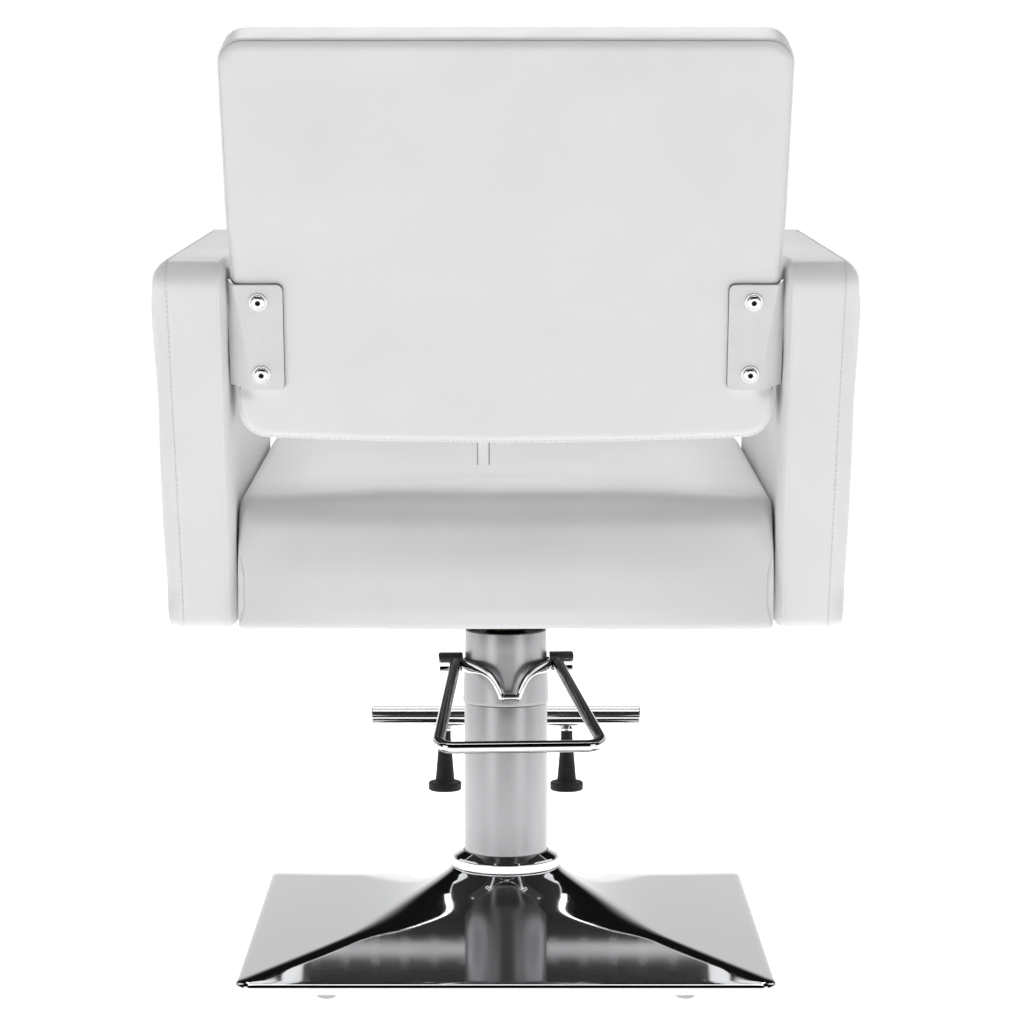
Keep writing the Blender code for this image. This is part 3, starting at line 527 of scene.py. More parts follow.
def pad_cover(name, outline, low_edge, high_edge, shape, band_steps, bow=None, held=None):
    """The closed cover of a pad, from its outline (counter-clockwise) and its two edges.

    shape maps the pad's own (x, y, z) to its place.  bow(point, share) is how far the band stands out, and
    held(point) marks stretches of the outline that are stapled down.  Returns the piece, how firmly each of
    its points is held, and the rows of points kept for stitching."""
    normals = outward_normals(outline)
    low, high = low_edge.stations(), high_edge.stations()
    band = []
    for k in range(1, band_steps):
        def where(p, t=k / band_steps):
            first, last = low_edge.spot(p, low_edge.start(p))[1], high_edge.spot(p, high_edge.start(p))[1]
            return -(bow(p, t) if bow else 0.0), first + (last - first) * t
        band.append((where, 0.0, None))
    stations = low[::-1] + band + high
    spots, faces, hold, rows, rings = [], [], [], {}, []
    for where, station_hold, row in stations:
        ring = []
        for point, normal in zip(outline, normals):
            inset, height = where(point)
            flat = point - normal * inset
            ring.append(len(spots))
            spots.append(Vector((flat.x, flat.y, height)))
            hold.append(max(station_hold, held(point) if held else 0.0))
        if row:
            rows[row] = ring
        rings.append(ring)
    for first, second in zip(rings, rings[1:]):
        for i in range(len(first)):
            j = (i + 1) % len(first)
            faces.append((first[i], first[j], second[j], second[i]))
    for edge, ring in ((low_edge, rings[0]), (high_edge, rings[-1])):
        flat_ring = [spots[i].to_2d() for i in ring]
        count = len(ring)
        inner = face_lattice(flat_ring, SPACING)
        made = delaunay_2d_cdt(flat_ring + inner, [(i, (i + 1) % count) for i in range(count)], [], 1, 1e-7)
        index = {}
        for k, (point, sources) in enumerate(zip(made[0], made[3])):
            if sources and sources[0] < count:
                index[k] = ring[sources[0]]
            else:
                index[k] = len(spots)
                spots.append(Vector((point.x, point.y, edge.height)))
                hold.append(edge.face_hold)
        faces += [tuple(index[k] for k in face) for face in made[2]]
    mesh = bpy.data.meshes.new(name)
    mesh.from_pydata([shape(spot) for spot in spots], [], faces)
    mesh_outward(mesh)
    return new_piece(name, mesh, LEATHER, 180), np.array(hold), rows


def coordinates(mesh):
    found = np.empty(len(mesh.vertices) * 3)
    mesh.vertices.foreach_get("co", found)
    return found.reshape(-1, 3)


def vertex_normals(mesh):
    found = np.empty(len(mesh.vertices) * 3)
    mesh.vertex_normals.foreach_get("vector", found)
    return found.reshape(-1, 3)


def set_coordinates(mesh, values):
    mesh.vertices.foreach_set("co", np.ascontiguousarray(values, dtype=np.float32).ravel())
    mesh.update()


def filled_with_foam(piece, hold, cap, ease=12, pressure=4.0, frames=18):
    """Let the foam push the cover out between its held seams, no further than cap allows anywhere."""
    mesh = piece.data
    start = coordinates(mesh)
    group = piece.vertex_groups.new(name="sewn")
    for i, held in enumerate(hold):
        if held > 0:
            group.add([i], float(held), "REPLACE")
    cloth = piece.modifiers.new("cover", "CLOTH")
    settings = cloth.settings
    settings.quality = 6
    settings.mass = 0.4
    settings.tension_stiffness = settings.compression_stiffness = 25
    settings.shear_stiffness = 15
    settings.bending_stiffness = 4
    settings.use_pressure = True
    settings.uniform_pressure_force = pressure
    settings.effector_weights.gravity = 0
    settings.vertex_group_mass = "sewn"
    settings.pin_stiffness = 1.0
    cloth.collision_settings.use_self_collision = False
    cloth.point_cache.frame_start, cloth.point_cache.frame_end = 1, frames
    scene = bpy.context.scene
    for step in range(1, frames + 1):
        scene.frame_set(step)
    evaluated = piece.evaluated_get(bpy.context.evaluated_depsgraph_get())
    moved = coordinates(evaluated.to_mesh()) - start
    piece.modifiers.clear()
    piece.vertex_groups.clear()
    scene.frame_set(1)
    moved = eased(mesh, moved, ease) * (1 - hold[:, None])
    length = np.linalg.norm(moved, axis=1)
    allowed = cap * np.tanh(length / cap)
    set_coordinates(mesh, start + moved * (allowed / np.maximum(length, 1e-9))[:, None])


def eased(mesh, moved, times):
    """Even out how far neighbouring points moved, the way a hand smooths folds out of a cover."""
    ends = np.empty(len(mesh.edges) * 2, dtype=np.int64)
    mesh.edges.foreach_get("vertices", ends)
    first, second = ends[::2], ends[1::2]
    count = np.bincount(ends, minlength=len(moved))
    for _ in range(times):
        for axis in range(3):
            total = (np.bincount(first, moved[second, axis], len(moved))
                     + np.bincount(second, moved[first, axis], len(moved)))
            moved[:, axis] = (moved[:, axis] + total / count) / 2
    return moved


def distance_to_rows(points, rows):
    """Distance from each point to the nearest vertex of the given rows."""
    seam = np.concatenate(rows)
    found = np.empty(len(points))
    for low in range(0, len(points), 4000):
        part = points[low:low + 4000]
        found[low:low + 4000] = np.sqrt(((part[:, None, :] - seam[None, :, :]) ** 2).sum(2).min(1))
    return found


def hand_worked(piece, seams, pucker=0.00035, wave=0.0006, seed=0.0):
    """Small unevenness of a hand-upholstered cover: puckers along the seams and slow waves in the faces."""
    mesh = piece.data
    points, normals = coordinates(mesh), vertex_normals(mesh)
    near = distance_to_rows(points, seams)
    offset = Vector((seed, seed * 1.7, -seed))
    moves = np.empty(len(points))
    for i, point in enumerate(points):
        place = Vector(point)
        slow = noise.noise(place * 9 + offset) + 0.4 * noise.noise(place * 23 + offset)
        quick = noise.noise(place * 95 + offset) + 0.5 * noise.noise(place * 210 + offset)
        d = near[i]
        fade = math.exp(-(d / 0.016) ** 2) * (1 - math.exp(-(d / 0.0035) ** 2))
        moves[i] = wave * slow * (1 - math.exp(-(d / 0.02) ** 2)) + pucker * quick * fade
    set_coordinates(mesh, points + normals * moves[:, None])


def smoothed(piece, levels=1):
    mod = piece.modifiers.new("smooth_cover", "SUBSURF")
    mod.levels = mod.render_levels = levels
    mod.use_limit_surface = False
    return settled(piece)


def copying_tree(name, first, numbers, finish, build, smooth=True):
    """Geometry nodes that put copies of a small shape at points and give them a finish.

    build(node, link, start) returns the sockets with the points, the shape, its size and its turn."""
    tree = bpy.data.node_groups.new(name, "GeometryNodeTree")
    inputs = ([(first, "NodeSocketGeometry")] + [(label, "NodeSocketFloat") for label in numbers]
              + [(finish, "NodeSocketMaterial")])
    for label, kind in inputs:
        tree.interface.new_socket(label, in_out="INPUT", socket_type=kind)
    tree.interface.new_socket("Copies", in_out="OUTPUT", socket_type="NodeSocketGeometry")

    def node(kind, **settings):
        made = tree.nodes.new(kind)
        for setting, value in settings.items():
            setattr(made, setting, value)
        return made

    link = tree.links.new
    start, end = node("NodeGroupInput"), node("NodeGroupOutput")
    copies = node("GeometryNodeInstanceOnPoints")
    for source, target in zip(build(node, link, start), ("Points", "Instance", "Scale", "Rotation")):
        if source:
            link(source, copies.inputs[target])
    real = node("GeometryNodeRealizeInstances")
    shade = node("GeometryNodeSetShadeSmooth")
    shade.inputs["Shade Smooth"].default_value = smooth
    coat = node("GeometryNodeSetMaterial")
    link(copies.outputs[0], real.inputs[0])
    link(real.outputs[0], shade.inputs[0])
    link(shade.outputs[0], coat.inputs["Geometry"])
    link(start.outputs[finish], coat.inputs["Material"])
    link(coat.outputs[0], end.inputs[0])
    return tree


def copied(piece, tree, **values):
    """The piece's points or lines turned into copies, with the tree's named inputs set."""
    mod = piece.modifiers.new("copies", "NODES")
    mod.node_group = tree
    for item in tree.interface.items_tree:
        if item.in_out == "INPUT" and item.name.replace(" ", "_") in values:
            mod[item.identifier] = values[item.name.replace(" ", "_")]
    return settled(piece)


def stitch_nodes(node, link, start):
    line = node("GeometryNodeMeshToCurve")
    spread = node("GeometryNodeResampleCurve", mode="LENGTH")
    bead = node("GeometryNodeMeshUVSphere")
    for label, value in (("Segments", 8), ("Rings", 6), ("Radius", 1.0)):
        bead.inputs[label].default_value = value
    size = node("ShaderNodeCombineXYZ")
    half = node("ShaderNodeMath", operation="MULTIPLY")
    half.inputs[1].default_value = 0.5
    turn = node("FunctionNodeAlignRotationToVector", axis="X")
    link(start.outputs["Line"], line.inputs[0])
    link(line.outputs[0], spread.inputs["Curve"])
    link(start.outputs["Spacing"], spread.inputs["Length"])
    link(start.outputs["Stitch Length"], half.inputs[0])
    link(half.outputs[0], size.inputs["X"])
    for axis in "YZ":
        link(start.outputs["Thread Radius"], size.inputs[axis])
    link(node("GeometryNodeInputTangent").outputs[0], turn.inputs["Vector"])
    return spread.outputs[0], bead.outputs["Mesh"], size.outputs[0], turn.outputs[0]


def staple_nodes(node, link, start):
    size, turn = node("ShaderNodeCombineXYZ"), node("ShaderNodeCombineXYZ")
    wire = node("GeometryNodeMeshCube")
    angle = node("GeometryNodeInputNamedAttribute", data_type="FLOAT")
    angle.inputs["Name"].default_value = "turn"
    for label, axis in (("Crown", "X"), ("Wire", "Y"), ("Wire", "Z")):
        link(start.outputs[label], size.inputs[axis])
    link(size.outputs[0], wire.inputs["Size"])
    link(angle.outputs["Attribute"], turn.inputs["Z"])
    return start.outputs["Places"], wire.outputs["Mesh"], None, turn.outputs[0]


STITCHING = copying_tree("row_of_stitches", "Line", ("Spacing", "Stitch Length", "Thread Radius"), "Thread",
                         stitch_nodes)
STAPLING = copying_tree("row_of_staples", "Places", ("Crown", "Wire"), "Metal", staple_nodes, False)


def stitches(name, lines, spacing=0.0046, length=0.0034, radius=0.00042):
    """Rows of stitches along lines of world points."""
    verts, edges = [], []
    for line in lines:
        first = len(verts)
        verts += [tuple(p) for p in line]
        edges += [(i, i + 1) for i in range(first, len(verts) - 1)]
    mesh = bpy.data.meshes.new(name)
    mesh.from_pydata(verts, edges, [])
    return copied(new_piece(name, mesh, THREAD), STITCHING, Spacing=spacing, Stitch_Length=length,
                  Thread_Radius=radius, Thread=THREAD)


# ---------------------------------------------------------------- back

BACK_FRAME = (Matrix.Translation((0.0, 0.250, 0.508))
              @ Matrix.Rotation(math.radians(180), 4, "Z")
              @ Matrix.Rotation(math.radians(90) + BACK_LEAN, 4, "X"))
BACK_CORNERS = ((0.2350, 0.004), (0.2398, 0.165), (0.2420, 0.200), (0.2460, 0.3612))
BACK_RADII = (0.026, 0.100, 0.100, 0.021)
BACK_SAG = (0.0, -0.0055), 4.2   # the middle of the lower edge hangs a little, and the radius there
BRACKET_Y = 0.0505, 0.1465       # the brackets' lower and upper ends
LEG_X, LEG_DROP = 0.2410, 0.0165  # how far out and how far in their folded legs reach
BACK_FRONT = -0.0725             # the front face before the foam fills it


def mirrored(corners):
    return list(corners) + [(-x, y) for x, y in reversed(corners)]


def clear_of_arms(points):
    """Press the cover flat where it would enter an arm."""
    limit, arm_top, arm_rear = 0.2412, 0.694, 0.31
    beside = (points[:, 2] < arm_top) & (points[:, 1] < arm_rear)
    points[:, 0] = np.where(beside, np.clip(points[:, 0], -limit, limit), points[:, 0])
    return points


def fold_x(y):
    return 0.2205 + 0.0145 * (y - BRACKET_Y[0]) / (BRACKET_Y[1] - BRACKET_Y[0])


def pressed_by_brackets(points):
    """Press the cover in under the brackets' folded legs."""
    to_back = np.array(BACK_FRAME.inverted())
    local = points @ to_back[:3, :3].T + to_back[:3, 3]
    across, rise = np.abs(local[:, 0]), local[:, 1]
    fold = fold_x(rise)
    share = np.clip((across - fold) / (LEG_X - fold), 0.0, 1.1)
    limit = -0.0012 - LEG_DROP * share
    fade = 0.008
    ends = np.clip((rise - BRACKET_Y[0]) / fade + 1, 0, 1) * np.clip((BRACKET_Y[1] - rise) / fade + 1, 0, 1)
    near = (across > fold - 0.001) & (local[:, 2] > -0.030)
    local[:, 2] += np.where(near, np.minimum(local[:, 2], limit) - local[:, 2], 0.0) * ends
    from_back = np.array(BACK_FRAME)
    return local @ from_back[:3, :3].T + from_back[:3, 3]


def make_back():
    outline = closed_outline(mirrored(BACK_CORNERS) + [BACK_SAG[0]],
                             BACK_RADII + BACK_RADII[::-1] + BACK_SAG[1:], SPACING)
    front = Edge("front_seam", BACK_FRONT, -1, lambda p: 0.024, lambda p: 0.015)
    rear = Edge("rear_seam", -0.0003, 1, lambda p: 0.0095, lambda p: 0.0048, face_hold=0.97, depth=0.0022,
                rows={1: "rear_topstitch"})
    cover, hold, rows = pad_cover("back_cover", outline, front, rear, lambda p: BACK_FRAME @ p, 11)
    seams = seam_lines(cover, rows, "front_seam", "rear_seam")
    filled_with_foam(cover, hold, 0.0042)
    set_coordinates(cover.data, pressed_by_brackets(clear_of_arms(coordinates(cover.data))))
    hand_worked(cover, seams, wave=0.0010, seed=3.1)
    smoothed(cover)
    sewn(cover, "back", rows, "front_seam")
    # painted shade: a dark tube along the rear seam where its crease is shaded
    seam_shade_path = surface_line(cover, rows["rear_seam"], 0.0003)
    keeps(seam_shade_tube("back_seam_crease", seam_shade_path), "seat", "upholstery")
    hem = [i for i in rows["rear_topstitch"] if cover.data.vertices[i].co.z < 0.530]
    hem = surface_line(cover, hem, 0.0001)
    keeps(stitches("back_hem_stitches", [hem], 0.0050, 0.0036), "seat", "upholstery")
    keeps(cover, "seat", "upholstery", "back_cushion", "back_panel")


def seam_lines(cover, rows, *names):
    return [coordinates(cover.data)[rows[name]] for name in names]


def surface_line(cover, row, lift):
    """The row's points on the finished cover, lifted a little off it."""
    mesh = cover.data
    return [mesh.vertices[i].co + mesh.vertex_normals[i].vector * lift for i in row]


def seam_shade_tube(name, line, radius=0.0007):
    """A dark grey tube along the bottom of a tightly pulled seam: painted shade of the fold there."""
    return new_piece(name, tube_mesh(line[-2:] + line + line[:2], radius, 6), PAINTED_SHADE_LINE, 60)


def sewn(cover, name, rows, *names):
    """The stitches of whole seams, which ride with their cover."""
    lines = [surface_line(cover, rows[row] + rows[row][:1], 0.0004) for row in names]
    keeps(stitches(f"{name}_seam_stitches", lines), "seat", "upholstery")


def grown(mesh, side, margin):
    """A copy of a flat plate's sheet, a little larger on its three free sides."""
    copy = mesh.copy()
    points = coordinates(copy)
    across, rise = points[:, 0] * side, points[:, 1]
    centre = (rise.min() + rise.max()) / 2
    points[:, 1] = centre + (rise - centre) * (1 + 2 * margin / (rise.max() - rise.min()))
    reach = across.max() - across
    points[:, 0] = side * (across.max() - reach * (1 + margin / reach.max()))
    set_coordinates(copy, points)
    return copy


def make_bracket(name, side):
    """A bent plate painted white: a flat with rounded corners on the back, and a leg folded to the arm."""
    thickness, lift, inner_x, corner = 0.0030, 0.0005, 0.194, 0.0055
    low_y, high_y = BRACKET_Y
    flat_steps, leg_steps, rise_steps = 12, 8, 14
    grid = []
    for i in range(flat_steps + leg_steps + 1):
        column = []
        for k in range(rise_steps + 1):
            share = k / rise_steps
            y = low_y + (high_y - low_y) * share
            if i <= flat_steps:
                x, z = inner_x + (fold_x(y) - inner_x) * (i / flat_steps) ** 1.6, lift
            else:
                t = (i - flat_steps) / leg_steps
                x, z = fold_x(y) + (LEG_X - fold_x(y)) * t, lift - LEG_DROP * t
            from_edge = x - inner_x
            if from_edge < corner:
                trim = corner - math.sqrt(corner ** 2 - (corner - from_edge) ** 2)
                y = low_y + trim + (high_y - low_y - 2 * trim) * share
            column.append((side * x, y, z))
        grid.append(column[::side])
    mesh = sheet(name, grid)
    plate = thickened(new_piece(name, mesh.copy(), PAINT), thickness, 1.0)
    rounded_edges(plate, 0.0006, 2, 60)
    plate.matrix_world = BACK_FRAME
    settled(plate)
    plate.data.shade_smooth()
    plate.data.set_sharp_from_angle(angle=math.radians(9))
    keeps(plate, "seat", "white_paint", name.replace("_plate", ""))
    # a thin black rim a little larger than the plate, under its edges: painted shade of the plate's contact
    # shadow in the leather
    shade_rim = new_piece(name.replace("_plate", "_gasket"), grown(mesh, side, 0.0004), RUBBER)
    shade_rim.matrix_world = BACK_FRAME @ Matrix.Translation((0, 0, -0.0001))
    thickened(shade_rim, 0.0006, 0.0)
    keeps(shade_rim, "seat", "rubber")


def socket_bolt(name, centre, node):
    """A round-headed bolt with a washer face and a hexagon socket whose faces are coloured black as painted
    shade.
    """
    steps = 48
    seat_z = 0.0036
    # (half size, height, hexagonal)
    rings = ((0.0080, 0.0, 0), (0.0080, 0.0007, 0), (0.0077, 0.0010, 0), (0.0069, 0.0010, 0),
             (0.0067, 0.0013, 0), (0.0066, 0.0020, 0), (0.0060, 0.0029, 0), (0.0051, 0.0036, 0),
             (0.0042, 0.0040, 0), (0.0031, 0.0041, 0), (0.00225, 0.0040, 1), (0.0022, 0.0038, 1),
             (0.0022, 0.0002, 1), (0.0010, -0.0004, 0))

    def reach(size, hexagonal, angle):
        return size / math.cos(angle % (math.pi / 3) - math.pi / 6) if hexagonal else size

    def build(bm):
        loops = []
        for size, height, hexagonal in rings:
            loops.append([bm.verts.new((reach(size, hexagonal, a) * math.cos(a),
                                        reach(size, hexagonal, a) * math.sin(a), height))
                          for a in (2 * math.pi * k / steps for k in range(steps))])
        loft_rings(bm, loops)

    mesh = mesh_of(build, name)
    mesh.transform(BACK_FRAME @ Matrix.Translation((centre[0], centre[1], seat_z))
                   @ Matrix.Rotation(math.radians(centre[2]), 4, "Z"))
    bolt = new_piece(name, mesh, BOLT_CHROME, 40)
    # the socket's faces take black plastic: painted shade in the hexagon socket
    bolt.data.materials.append(BLACK)
    middle = BACK_FRAME @ Vector((centre[0], centre[1], seat_z))
    outward = BACK_FRAME.to_3x3() @ Vector((0, 0, 1))
    for face in bolt.data.polygons:
        away = face.center - middle
        if (away - outward * away.dot(outward)).length < 0.00235 and away.dot(outward) < 0.0039:
            face.material_index = 1
    keeps(bolt, "seat", "chrome", node)


def make_back_hardware():
    for side, hand in ((-1, "left"), (1, "right")):
        make_bracket(f"back_bracket_{hand}_plate", side)
    spots = [(side * x, y) for side in (-1, 1) for x, y in ((0.2140, 0.0650), (0.2155, 0.1310))]
    for i, (x, y) in enumerate(spots, 1):
        socket_bolt(f"bracket_bolt_{i}_head", (x, y, 17 * i), f"bracket_bolt_{i}")


def make_tag():
    """A loop of white tape sewn into the lower edge of the back."""
    middle, half, length, z = -0.02025, 0.00525, 0.0355, -0.0447

    def place(u, t):
        return Vector((middle + half * u * (1 - 0.03 * math.sin(t * 3.1)), 0.006 - (length + 0.006) * t,
                       z + 0.0010 * math.sin(t * 2.6) + 0.0004 * u * u))

    stations = [k / 16 for k in range(17)]
    mesh = sheet("back_tag_tape", [[place(u, t) for u in (-1, -0.5, 0, 0.5, 1)] for t in stations])
    # two dark grey tubes along the tape's edges: painted shade where the edges shadow the tape
    for name, u in (("left", -1), ("right", 1)):
        edge = tube_mesh([BACK_FRAME @ place(u, t) for t in stations], 0.00070, 6)
        keeps(new_piece(f"back_tag_edge_{name}", edge, PAINTED_SHADE_LINE, 60), "seat", "label_cloth")
    tape = new_piece("back_tag_tape", mesh, TAPE)
    tape.matrix_world = BACK_FRAME
    thickened(tape, 0.0009, 0.0)
    keeps(tape, "seat", "label_cloth", "back_tag")


# ---------------------------------------------------------------- seat

SEAT_HALF, SEAT_LIMIT = 0.2398, 0.2411   # half the width as cut, and as far as the arms let it bulge
SEAT_OUTLINE = ((-0.2580, 0.3385), (0.2290, 0.3385), (0.2290, 0.4572), (-0.2580, 0.4790))
SEAT_LINING_Z = 0.3413           # the underside over the dust cloth


def make_seat():
    outline = closed_outline(SEAT_OUTLINE, (0.006, 0.0045, 0.029, 0.028), SPACING)

    def radius(p):
        return 0.0045 + 0.0050 * smooth_step(p.y, 0.342, 0.362)

    def seam(p):
        return 0.0040 + 0.0130 * smooth_step(p.y, 0.385, 0.430)

    def shape(p):
        """Across, front to back, up; the underside is let up round the board."""
        x, y, z = p.z, p.x, p.y
        inside = (smooth_step(0.2245 - abs(x), 0.0, 0.005) * smooth_step(y, -0.252, -0.246)
                  * smooth_step(0.220 - y, 0.0, 0.006))
        lift = (SEAT_LINING_Z - z) * inside if z < 0.3425 else 0.0
        turn = 0.006 + 0.024 * smooth_step(z, 0.40, 0.45)
        past = min(1.0, max(0.0, abs(x) - (SEAT_HALF - turn)) / turn)
        behind = smooth_step(y, 0.150, 0.225) * smooth_step(z, 0.350, 0.44)
        return Vector((x, y - behind * turn * 0.55 * (1 - math.sqrt(1 - past * past * 0.96)), z + lift))

    def bow(p, share):
        across = 1 - (2 * share - 1) ** 2
        return (0.0045 * smooth_step(p.y, 0.445, 0.456) + 0.0022 * smooth_step(p.y, 0.36, 0.40)) * across

    sides = [Edge(f"seam_{name}", sign * SEAT_HALF, sign, radius, seam)
             for name, sign in (("right", -1), ("left", 1))]
    cover, hold, rows = pad_cover("seat_cover", outline, *sides, shape, 80, bow,
                                  lambda p: 1.0 - smooth_step(p.y, 0.3410, 0.3600))
    seams = seam_lines(cover, rows, "seam_left", "seam_right")
    filled_with_foam(cover, hold, 0.0050, ease=110)
    points = coordinates(cover.data)
    points[:, 0] = np.clip(points[:, 0], -SEAT_LIMIT, SEAT_LIMIT)
    set_coordinates(cover.data, points)
    hand_worked(cover, seams, wave=0.0006, seed=7.7)
    smoothed(cover)
    sewn(cover, "seat", rows, "seam_left", "seam_right")
    keeps(cover, "seat", "upholstery", "seat_cushion")


# ---------------------------------------------------------------- arms

ARM_FOOT_Z, ARM_HEAD_Z, ARM_INNER_X = 0.3375, 0.6895, 0.2414
ARM_OUTLINE = ((-0.2250, 0.3375), (0.2055, 0.3375), (0.2980, 0.6700), (-0.2400, 0.6905))


def make_arms():
    outline = closed_outline(ARM_OUTLINE, (0.019, 0.009, 0.020, 0.030), SPACING)

    def outer_radius(p):
        return 0.0075 + 0.0105 * smooth_step(p.y, 0.342, 0.375)

    def outer_seam(p):
        reach = outer_radius(p) - 0.0145
        return outer_radius(p) * math.asin(reach / outer_radius(p)) if reach > 0 else reach

    inner = Edge("seam_inner", 0.2420, -1, lambda p: 0.009, lambda p: 0.0004, depth=0.0006)
    outer = Edge("seam_outer", 0.3100, 1, outer_radius, outer_seam, depth=0.0006)

    def shape(p):
        """Across, front to back, up; the outer face leans in towards the foot."""
        share = (ARM_HEAD_Z - p.y) / (ARM_HEAD_Z - ARM_FOOT_Z)
        lean = 0.0055 * share * smooth_step(p.z, 0.255, 0.300)
        return Vector((p.z - lean, p.x, p.y))

    cover, hold, rows = pad_cover("arm_cover_left", outline, inner, outer, shape, 8, lambda p, t: 0.0,
                                  lambda p: 1.0 - smooth_step(p.y, 0.3400, 0.3550))
    seams = seam_lines(cover, rows, "seam_inner", "seam_outer")
    filled_with_foam(cover, hold, 0.0048)
    points = coordinates(cover.data)
    points[:, 0] = np.maximum(points[:, 0], ARM_INNER_X)
    set_coordinates(cover.data, points)
    right = new_piece("arm_cover_right", cover.data.copy(), LEATHER)
    right.data.flip_normals()
    set_coordinates(right.data, coordinates(cover.data) * np.array((-1, 1, 1)))
    for piece, hand, seed in ((cover, "left", 1.3), (right, "right", 5.9)):
        sign = 1 if hand == "left" else -1
        hand_worked(piece, [line * np.array((sign, 1, 1)) for line in seams], wave=0.0005, seed=seed)
        smoothed(piece)
        sewn(piece, f"arm_{hand}", rows, "seam_outer")
        keeps(piece, "seat", "upholstery", f"arm_{hand}")


# ---------------------------------------------------------------- base and pump

BASE_HALF, RIM_TOP_Z, RIM_BOTTOM_Z, NECK_R = 0.245, 0.019, 0.009, 0.052


def cover_height(reach):
    reach = max(reach, NECK_R)
    return RIM_TOP_Z + 0.19 * (BASE_HALF - reach) + 0.022 * math.exp((NECK_R - reach) / 0.030)


def rounded_square_point(half, corner_r, angle):
    """Where a ray at this angle leaves a square with rounded corners."""
    direction = Vector((math.cos(angle), math.sin(angle)))
    across = direction / max(abs(direction.x), abs(direction.y)) * half
    inner = half - corner_r
    if min(abs(across.x), abs(across.y)) <= inner:
        return across
    centre = Vector((math.copysign(inner, across.x), math.copysign(inner, across.y)))
    along = direction.dot(centre)
    return direction * (along + math.sqrt(along ** 2 - centre.length_squared + corner_r ** 2))


def make_base_cover():
    """The pressed cover: level lines go from a circle at the neck to a square at the rolled rim."""
    quarter = ([3 * k for k in range(14)] + [40.5 + 0.6 * k for k in range(16)]
               + [51 + 3 * k for k in range(13)])
    angles = [math.radians(turn + step) for turn in (0, 90, 180, 270) for step in quarter]
    rim_r = 0.0042
    reaches = [0.0425 + (BASE_HALF - rim_r - 0.0425) * (k / 60) ** 1.25 for k in range(61)]
    levels = [(reach, cover_height(reach)) for reach in reaches]
    top = levels[-1][1] - 0.0002
    levels += [(BASE_HALF - rim_r + rim_r * math.sin(a), top - rim_r + rim_r * math.cos(a))
               for a in (math.radians(15 * k) for k in range(1, 7))]
    levels += [(BASE_HALF, RIM_BOTTOM_Z + 0.0022), (BASE_HALF - 0.0005, RIM_BOTTOM_Z + 0.0009),
               (BASE_HALF - 0.0018, RIM_BOTTOM_Z), (BASE_HALF - 0.0040, RIM_BOTTOM_Z + 0.0002)]

    def build(bm):
        rings = []
        for reach, height in levels:
            square = smooth_step(reach, NECK_R, NECK_R + 0.10) if reach < NECK_R + 0.10 else 1.0
            corner_r = reach * (1 - square) + 0.015 * square
            rings.append([bm.verts.new((*rounded_square_point(reach, corner_r, a), height)) for a in angles])
        for upper, lower in zip(rings, rings[1:]):
            for i in range(len(angles)):
                j = (i + 1) % len(angles)
                bm.faces.new((upper[i], lower[i], lower[j], upper[j]))

    cover = thickened(new_piece("chrome_base_cover", mesh_of(build), CHROME), 0.0015)
    cover.data.shade_smooth()
    cover.data.set_sharp_from_angle(angle=math.radians(50))
    keeps(cover, "base", "chrome", "base_cover")


def turned_piece(name, profile, radii, material, body, slot, *nodes, steps=96, place=None, smooth=32):
    """A turned piece whose profile corners are rounded."""
    mesh = turned_mesh(rounded_profile(profile, radii), steps)
    if place:
        mesh.transform(place)
    piece = new_piece(name, mesh, material, smooth)
    return keeps(piece, body, slot, *nodes)


def make_glides():
    for i, (x, y) in enumerate(((1, 1), (-1, 1), (-1, -1), (1, -1)), 1):
        profile = [(0, 0.0092), (0.0082, 0.0092), (0.0100, 0.0072), (0.0100, 0.0045), (0.0088, 0.0014),
                   (0.0070, 0.0002), (0, 0.0002)]
        turned_piece(f"foot_glide_{i}", profile, [0.0006, 0.0006, 0.0006, 0.0012, 0.0006], GLIDE, "base",
                     "glide_plastic", f"base_glide_{i}", steps=40,
                     place=Matrix.Translation((x * 0.163, y * 0.216, 0)))


